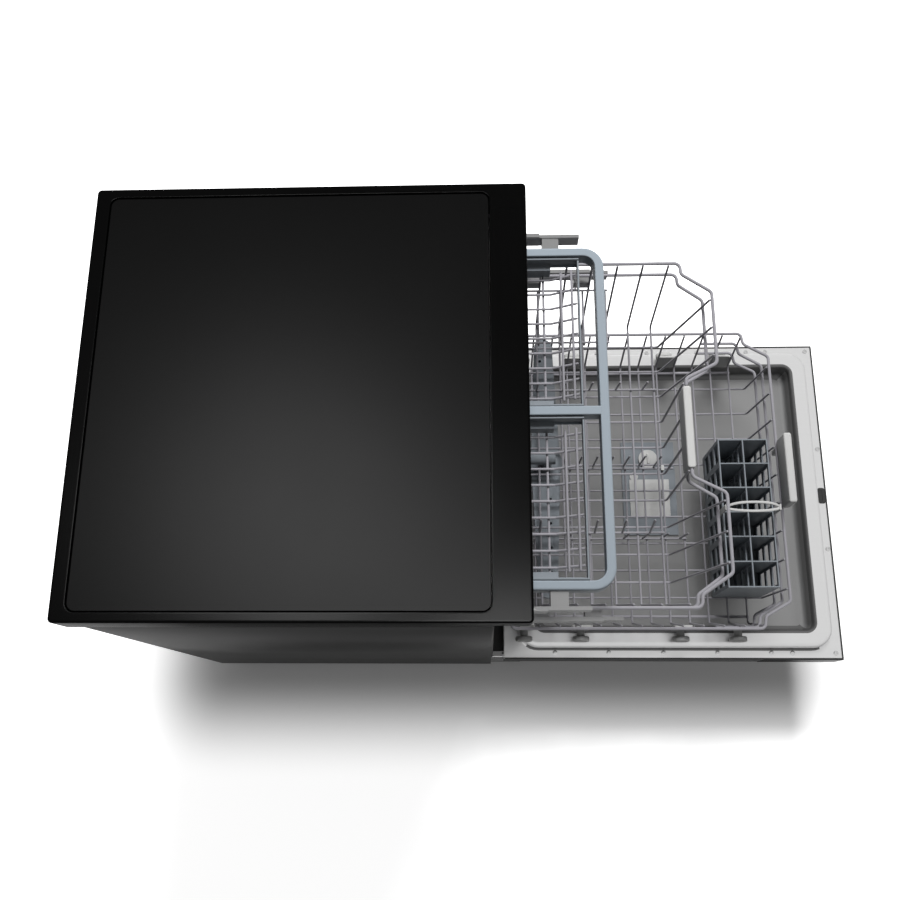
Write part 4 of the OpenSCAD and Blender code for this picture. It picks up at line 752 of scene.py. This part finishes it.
# %% [markdown]
# ## The wire racks
#
# A rack is welded from two thicknesses of wire. Thick wires make the rim and the second
# line below it; thin wires cross the floor and climb the walls, where they lean against the
# thick ones. The places below follow the same rule as the CAD model: a thin wire passes a
# thick one at the sum of their radii and a hair more. Each wire stays in one plane, so it
# needs no twist along its path.

# %% Where wires meet
gap = thin + thick + 2 * touch_gap
rim_half, rack_depth = 260, 465


def past_rim(foot, rim_point, side):
    """End of a thin wire that starts at foot, passes the rim's wire on one side and stands just
    above it: the rim's centre plus the gap across the wire, then a thin radius further."""
    foot, rim_point = np.array(foot, float), np.array(rim_point, float)
    d = unit(rim_point - foot)
    touch = rim_point + side * gap * np.array([-d[1], d[0]])
    return touch + unit(touch - foot) * thin


def seat(foot, end, z, side):
    """Place of a thick wire at height z that lies against the thin wire from foot to end: the thin
    wire's place there, plus the gap times the length of a step (1, slope)."""
    slope_x = (end[0] - foot[0]) / (end[1] - foot[1])
    return foot[0] + slope_x * (z - foot[1]) + side * gap * math.hypot(1, slope_x)


def rim_wire(half_path, closed=False, bend=9.0):
    """A thick wire that lies flat: the given half on the right, then its mirror image on the left,
    with two free ends or closed to a ring."""
    right = np.array(half_path, float)
    path = np.vstack([right, right[::-1] * np.array([-1, 1, 1])])
    if not closed:
        return wire(path, thick, (0, 0, 1), bend, 10)
    loop = bent(np.vstack([path[-1:], path, path[:1]]), bend)[1:-1]
    return sew(carry(loop, circle(thick, 10), (0, 0, 1), closed=True), along=True)


print("a thin wire passes a thick one at", round(gap, 2), "mm")

# %% Middle rack
rim_z, second_z, base_z, foot_half = 675.0, 645.0, 496.0, 234
long_z = base_z - 2 * thin - touch_gap
near_y, far_y = front - 286 + thick, front - 286 + rack_depth - thick
notch, grip_half, lobe_half = near_y + 47, 62, 98
side_foot, lobe_foot = (foot_half, base_z), (notch + gap, long_z)
side_top = past_rim(side_foot, (rim_half, rim_z), 1)
lobe_top = past_rim(lobe_foot, (near_y, rim_z), -1)


def middle_rim(half, y_front, z):
    """Half of the rim, from the handle round the front lobe and the side to the back."""
    return [(grip_half, notch, z), (74, notch, z), (lobe_half, y_front, z), (212, y_front, z),
            (half - 18, notch - 3, z), (half, notch - 2, z), (half, far_y, z)]


second_half = seat(side_foot, side_top, second_z, 1)
second_front = seat(lobe_foot, lobe_top, second_z, -1)
rack = [rim_wire(middle_rim(rim_half, near_y, rim_z)),
        rim_wire(middle_rim(second_half, second_front, second_z))]
cross_y = np.linspace(notch + 15, far_y - 14, 11)
rack += [wire([(-side_top[0], y, side_top[1]), (-foot_half, y, base_z), (foot_half, y, base_z),
               (side_top[0], y, side_top[1])], thin, (0, 1, 0)) for y in cross_y]
for x in np.linspace(-198, 198, 10):
    low, high = (lobe_foot[0], rim_z - 34), (lobe_foot[0], rim_z + thin)
    near = low if abs(x) < grip_half else high if abs(x) < lobe_half else tuple(lobe_top)
    rack.append(wire([(x, *near), (x, lobe_foot[0], long_z), (x, far_y - gap, long_z),
                      (x, far_y - gap, rim_z + thin)], thin, (1, 0, 0)))
print("middle rack has", len(rack), "wires in its walls and floor")

# %% Prongs of the middle rack
prong_x, bar_over = 120, 2 * thin + touch_gap
prongs = [wire([(prong_x, cross_y[0] - 4, base_z + bar_over), (prong_x, cross_y[-1] + 4, base_z + bar_over)],
               thin, (1, 0, 0))]
prongs += [wire([(prong_x, y, base_z + 5), (prong_x - 8, y, base_z + 62)], thin, (0, 1, 0))
           for y in np.linspace(cross_y[0] + 20, cross_y[-1] - 16, 9)]
make("middle_rack", rack + both(prongs), "wire_coat", "middle_rack", ["middle_rack_wires"])
print("and", 2 * len(prongs), "bars and prongs")

# %% Cup shelf
lo, hi = box_mm("cup_shelf")
edge_x, long_wire_z, cross_wire_z = hi[0] - thin, 617, 613.4
shelf = [wire([(x, lo[1], long_wire_z), (x, hi[1], long_wire_z)], thin, (1, 0, 0))
         for x in (edge_x - 88, edge_x)]
shelf += [wire([(lo[0], y, cross_wire_z), (edge_x, y, cross_wire_z)], thin, (0, 1, 0))
          for y in np.linspace(lo[1] + 4, hi[1] - 4, 8)]
make("cup_ledge", shelf, "wire_coat", "cup_shelf", ["cup_shelf"])
print("cup shelf has", len(shelf), "wires")

# %% Lower rack
low_front = front - 445
low_rim, low_base, low_half = 400.0, 292.0, 240
low_long = low_base - 2 * thin - touch_gap
low_near, low_far = low_front + thick, low_front + rack_depth - thick
low_foot, nose_foot = (low_half, low_base), (low_near + 15, low_long)
low_top = past_rim(low_foot, (rim_half, low_rim), 1)
nose_top = past_rim(nose_foot, (low_near, low_rim), -1)
low_rack = [rim_wire([(216, low_near, low_rim), (240, low_near + 42, low_rim),
                      (rim_half, low_near + 45, low_rim), (rim_half, low_far, low_rim)], closed=True)]
for z in (low_rim - 34, low_rim - 68):
    half, y = seat(low_foot, low_top, z, 1), seat(nose_foot, nose_top, z, -1)
    low_rack.append(rim_wire([(half, low_near + 110, z), (half, low_near + 45, z),
                              (half - 20, low_near + 42, z), (212, y, z)]))
low_y = np.linspace(low_near + 44, low_far - 14, 13)
low_rack += [wire([(-low_top[0], y, low_top[1]), (-low_half, y, low_base), (low_half, y, low_base),
                   (low_top[0], y, low_top[1])], thin, (0, 1, 0)) for y in low_y]
low_rack += [wire([(x, *nose_top), (x, nose_foot[0], low_long), (x, low_far - gap, low_long),
                   (x, low_far - gap, low_rim + thin)], thin, (1, 0, 0)) for x in np.linspace(-195, 195, 9)]
print("lower rack has", len(low_rack), "wires in its walls and floor")

# %% Fixed tines and skids of the lower rack
tine_x, skid_x, skid_z = -90, 228, low_base - thin - thick
tine_bar_z = low_base + bar_over
low_rack.append(wire([(tine_x, low_y[3] - 3, tine_bar_z), (tine_x, low_far - 11, tine_bar_z)], thin, (1, 0, 0)))
low_rack += [wire([(tine_x, y, low_base + 5), (tine_x - 6, y, low_base + 80)], thin, (0, 1, 0))
             for y in np.linspace(low_y[0] + 110, low_y[-1] - 26, 9)]
low_rack += [wire([(x, low_y[0] - 4, skid_z), (x, low_y[-1] + 4, skid_z)], thick, (1, 0, 0), sides=10)
             for x in (-skid_x, skid_x)]
print("lower rack has", len(low_rack), "wires in all")

# %% Brackets of the wheels
lean = (low_top[0] - low_foot[0]) / (low_top[1] - low_base)
bracket_x = low_half + lean * (322 - low_base) + thin + 0.08
rings = ((0.8, 0), (0, 0.8), (0, 3.2), (0.8, 4))
hub_start, hub_end = wheel_x - 5.5 - bracket_x, wheel_x + 4.4 - bracket_x
pin = [(1, 0), (1, 7), (hub_start - 0.5, 7), (hub_start, 6.4), (hub_start, 4), (hub_end - 0.4, 4),
       (hub_end, 3.6), (hub_end, 0)]
brackets = []
for axle in (62, 162, 337, 437):
    y = low_front + axle
    grid = stack([(y - 18 + i, y + 18 - i, wheel_z - 7 + i, low_rim - 78 - i, 5, h) for i, h in rings], 6)
    plate = np.stack([bracket_x + grid[..., 2], grid[..., 0], grid[..., 1]], -1)
    brackets += [sew(plate, lids=True), turned(pin, (bracket_x, y, wheel_z), "x", 20)]
clips = [slab((35, 45), (y - 3, y + 3), (low_base + 1.9, low_base + 9.4), 1.5, 0.8)
         for y in (low_y[4], low_y[10])]
parts = low_rack + both(brackets) + clips
steel_faces = sum(len(faces) for points, faces in low_rack)
all_faces = sum(len(faces) for points, faces in parts)
looks = np.repeat([0, 1], [steel_faces, all_faces - steel_faces])
make("lower_rack", parts, ["wire_coat", "light_plastic"], "lower_rack", ["lower_rack_wires"], looks=looks)
print("wheel brackets at x", round(bracket_x, 1))

# %% Folding tines
lo, hi = box_mm("folding_tines")
bar_r = 2.2
bar_z = low_base + thin + bar_r + 0.4
tines = [wire([(40, lo[1], bar_z), (40, hi[1], bar_z)], bar_r, (1, 0, 0), sides=10)]
tines += [wire([(44.1, y, bar_z + 0.6), (39.6, y, bar_z + 84)], thin, (0, 1, 0))
          for y in np.linspace(lo[1] + 8, hi[1] - 8, 10)]
make("plate_tines", tines, "wire_coat", "folding_tines", ["folding_tines"])
print(len(tines) - 1, "folding tines")

# %% [markdown]
# ## Handles
#
# The racks' handles are light warm-grey mouldings with soft edges. The middle one is a
# plain block clipped between the rim's two ends. The lower one stands higher and reaches
# forwards, on two legs that clip to the front wires. The basket's handle is a flat ring
# shaped like a lens, arched a little, that two straps carry.

# %% Rack handles
lo, hi = box_mm("middle_rack_handle")
middle_grip = slab((lo[0], hi[0]), (lo[1], hi[1]), (lo[2], hi[2]), 4, 2.6, 6)
make("middle_grip", [middle_grip], "light_plastic", "middle_rack", ["middle_rack_handle"])
lo, hi = box_mm("lower_rack_handle")
grip = [slab((-60, 60), (lo[1], hi[1]), (hi[2] - 44, hi[2]), 4, 3, 6)]
grip += both([slab((44, 54), (lo[1], low_front - touch_gap), (lo[2], hi[2] - 43), 2.5, 1)])
make("lower_grip", grip, "light_plastic", "lower_rack", ["lower_rack_handle"])
print("handles are", round(hi[0] - lo[0]), "mm long")

# %% Basket handle
lo, hi = box_mm("basket_handle")
cx, cy, reach_y = (lo[0] + hi[0]) / 2, (lo[1] + hi[1]) / 2, (hi[1] - lo[1]) / 2
t = np.linspace(0, 2 * np.pi, 64, endpoint=False)
# The lens is x = 7.5 sin t and y = reach cos t; its ends drop by 7 times the fourth power of cos t.
lens = np.stack([cx + 7.5 * np.sin(t), cy + (reach_y - 3) * np.cos(t), hi[2] - 1.6 - 7 * np.cos(t) ** 4], -1)
band_profile = [(-2, -1.2), (-1.4, -1.6), (1.4, -1.6), (2, -1.2), (2, 1.2), (1.4, 1.6), (-1.4, 1.6),
                (-2, 1.2)]
strap_y = [cy + side * (reach_y - 1.5) for side in (-1, 1)]
pivot = [(0, 0), (0, 4.4), (0.6, 5), (2.4, 5), (3, 4.4), (3, 0)]
bail = [sew(carry(lens, band_profile, (0, 0, 1), closed=True), along=True)]
bail += [slab((cx - 5, cx + 5), (y - 1.5, y + 1.5), (lo[2] + 1, hi[2] - 6), 1.2, 0.7) for y in strap_y]
bail += [turned(pivot, (cx, y - 1.5, lo[2] + 5), "y", 20) for y in strap_y]
make("basket_bail", bail, "light_plastic", "basket_handle", ["basket_handle"])
print("basket handle spans", round(2 * reach_y), "mm")

# %% [markdown]
# ## Pieces that keep their CAD shape
#
# Mouldings and folded brackets whose CAD shape is already right only lack the small
# roundings that catch the light. A copy of the CAD mesh, with its loose triangles merged,
# gets a narrow bevel on its sharp edges and stands in for the CAD node.

# %% Softened copies
def softened(node, width):
    """A copy of a CAD mesh, merged, with its edges over 30 degrees rounded by width millimetres."""
    mesh = nodes[node].data.copy()
    shape = bmesh.new()
    shape.from_mesh(mesh)
    bmesh.ops.remove_doubles(shape, verts=shape.verts, dist=same_place)
    bmesh.ops.dissolve_limit(shape, angle_limit=math.radians(0.5), verts=shape.verts, edges=shape.edges)
    shape.to_mesh(mesh)
    shape.free()
    mesh.shade_smooth()
    mesh.set_sharp_from_angle(angle=math.radians(35))
    mesh.materials.clear()
    mesh.materials.append(finishes[slot_of[node]])
    piece = bpy.data.objects.new(node + "_soft", mesh)
    bpy.context.scene.collection.objects.link(piece)
    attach(piece, body_of[node])
    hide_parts(node)
    finish_with(piece, "BEVEL", width=width * mm, segments=2, limit_method="ANGLE",
                angle_limit=math.radians(30), harden_normals=True, use_clamp_overlap=True)
    return piece


widths = {
    "rear_panel": 0.3, "base_tray": 1.0, "kick_panel": 1.2, "tub": 0.3, "tub_gasket": 1.2,
    "front_crossbar": 0.3, "hinge_brackets": 0.4, "door_outer_panel": 0.3, "control_panel": 1.2,
    "display_window": 0.3, "dispenser_body": 0.8, "dispenser_lid": 0.8, "rinse_cap": 0.8,
    "door_latch": 0.6, "hinge_arms": 0.4, "power_button": 0.7, "program_button": 0.7,
    "start_button": 0.7, "fixed_rails": 0.3, "tray_middle_rail": 0.3, "tray_inner_rail": 0.4,
    "rack_middle_rail": 0.3, "rack_inner_rail": 0.4, "tray_insert_cheeks": 0.5,
    "upper_feed_pipe": 0.8, "upper_spray_arm": 2.0, "lower_spray_arm": 2.0, "spray_hub": 1.0,
    "filter_plate": 0.4, "cylinder_filter": 0.8, "salt_cap": 0.8, "softener": 1.5,
    "feed_duct": 1.5, "sump": 0.8, "circulation_pump": 2.0, "drain_pump": 1.0,
    "inlet_valve": 1.0, "counterweight": 2.5, "cutlery_basket": 0.4, "door_springs": 0.3,
}
soft = [softened(node, width) for node, width in widths.items()]
print(len(soft), "softened pieces")
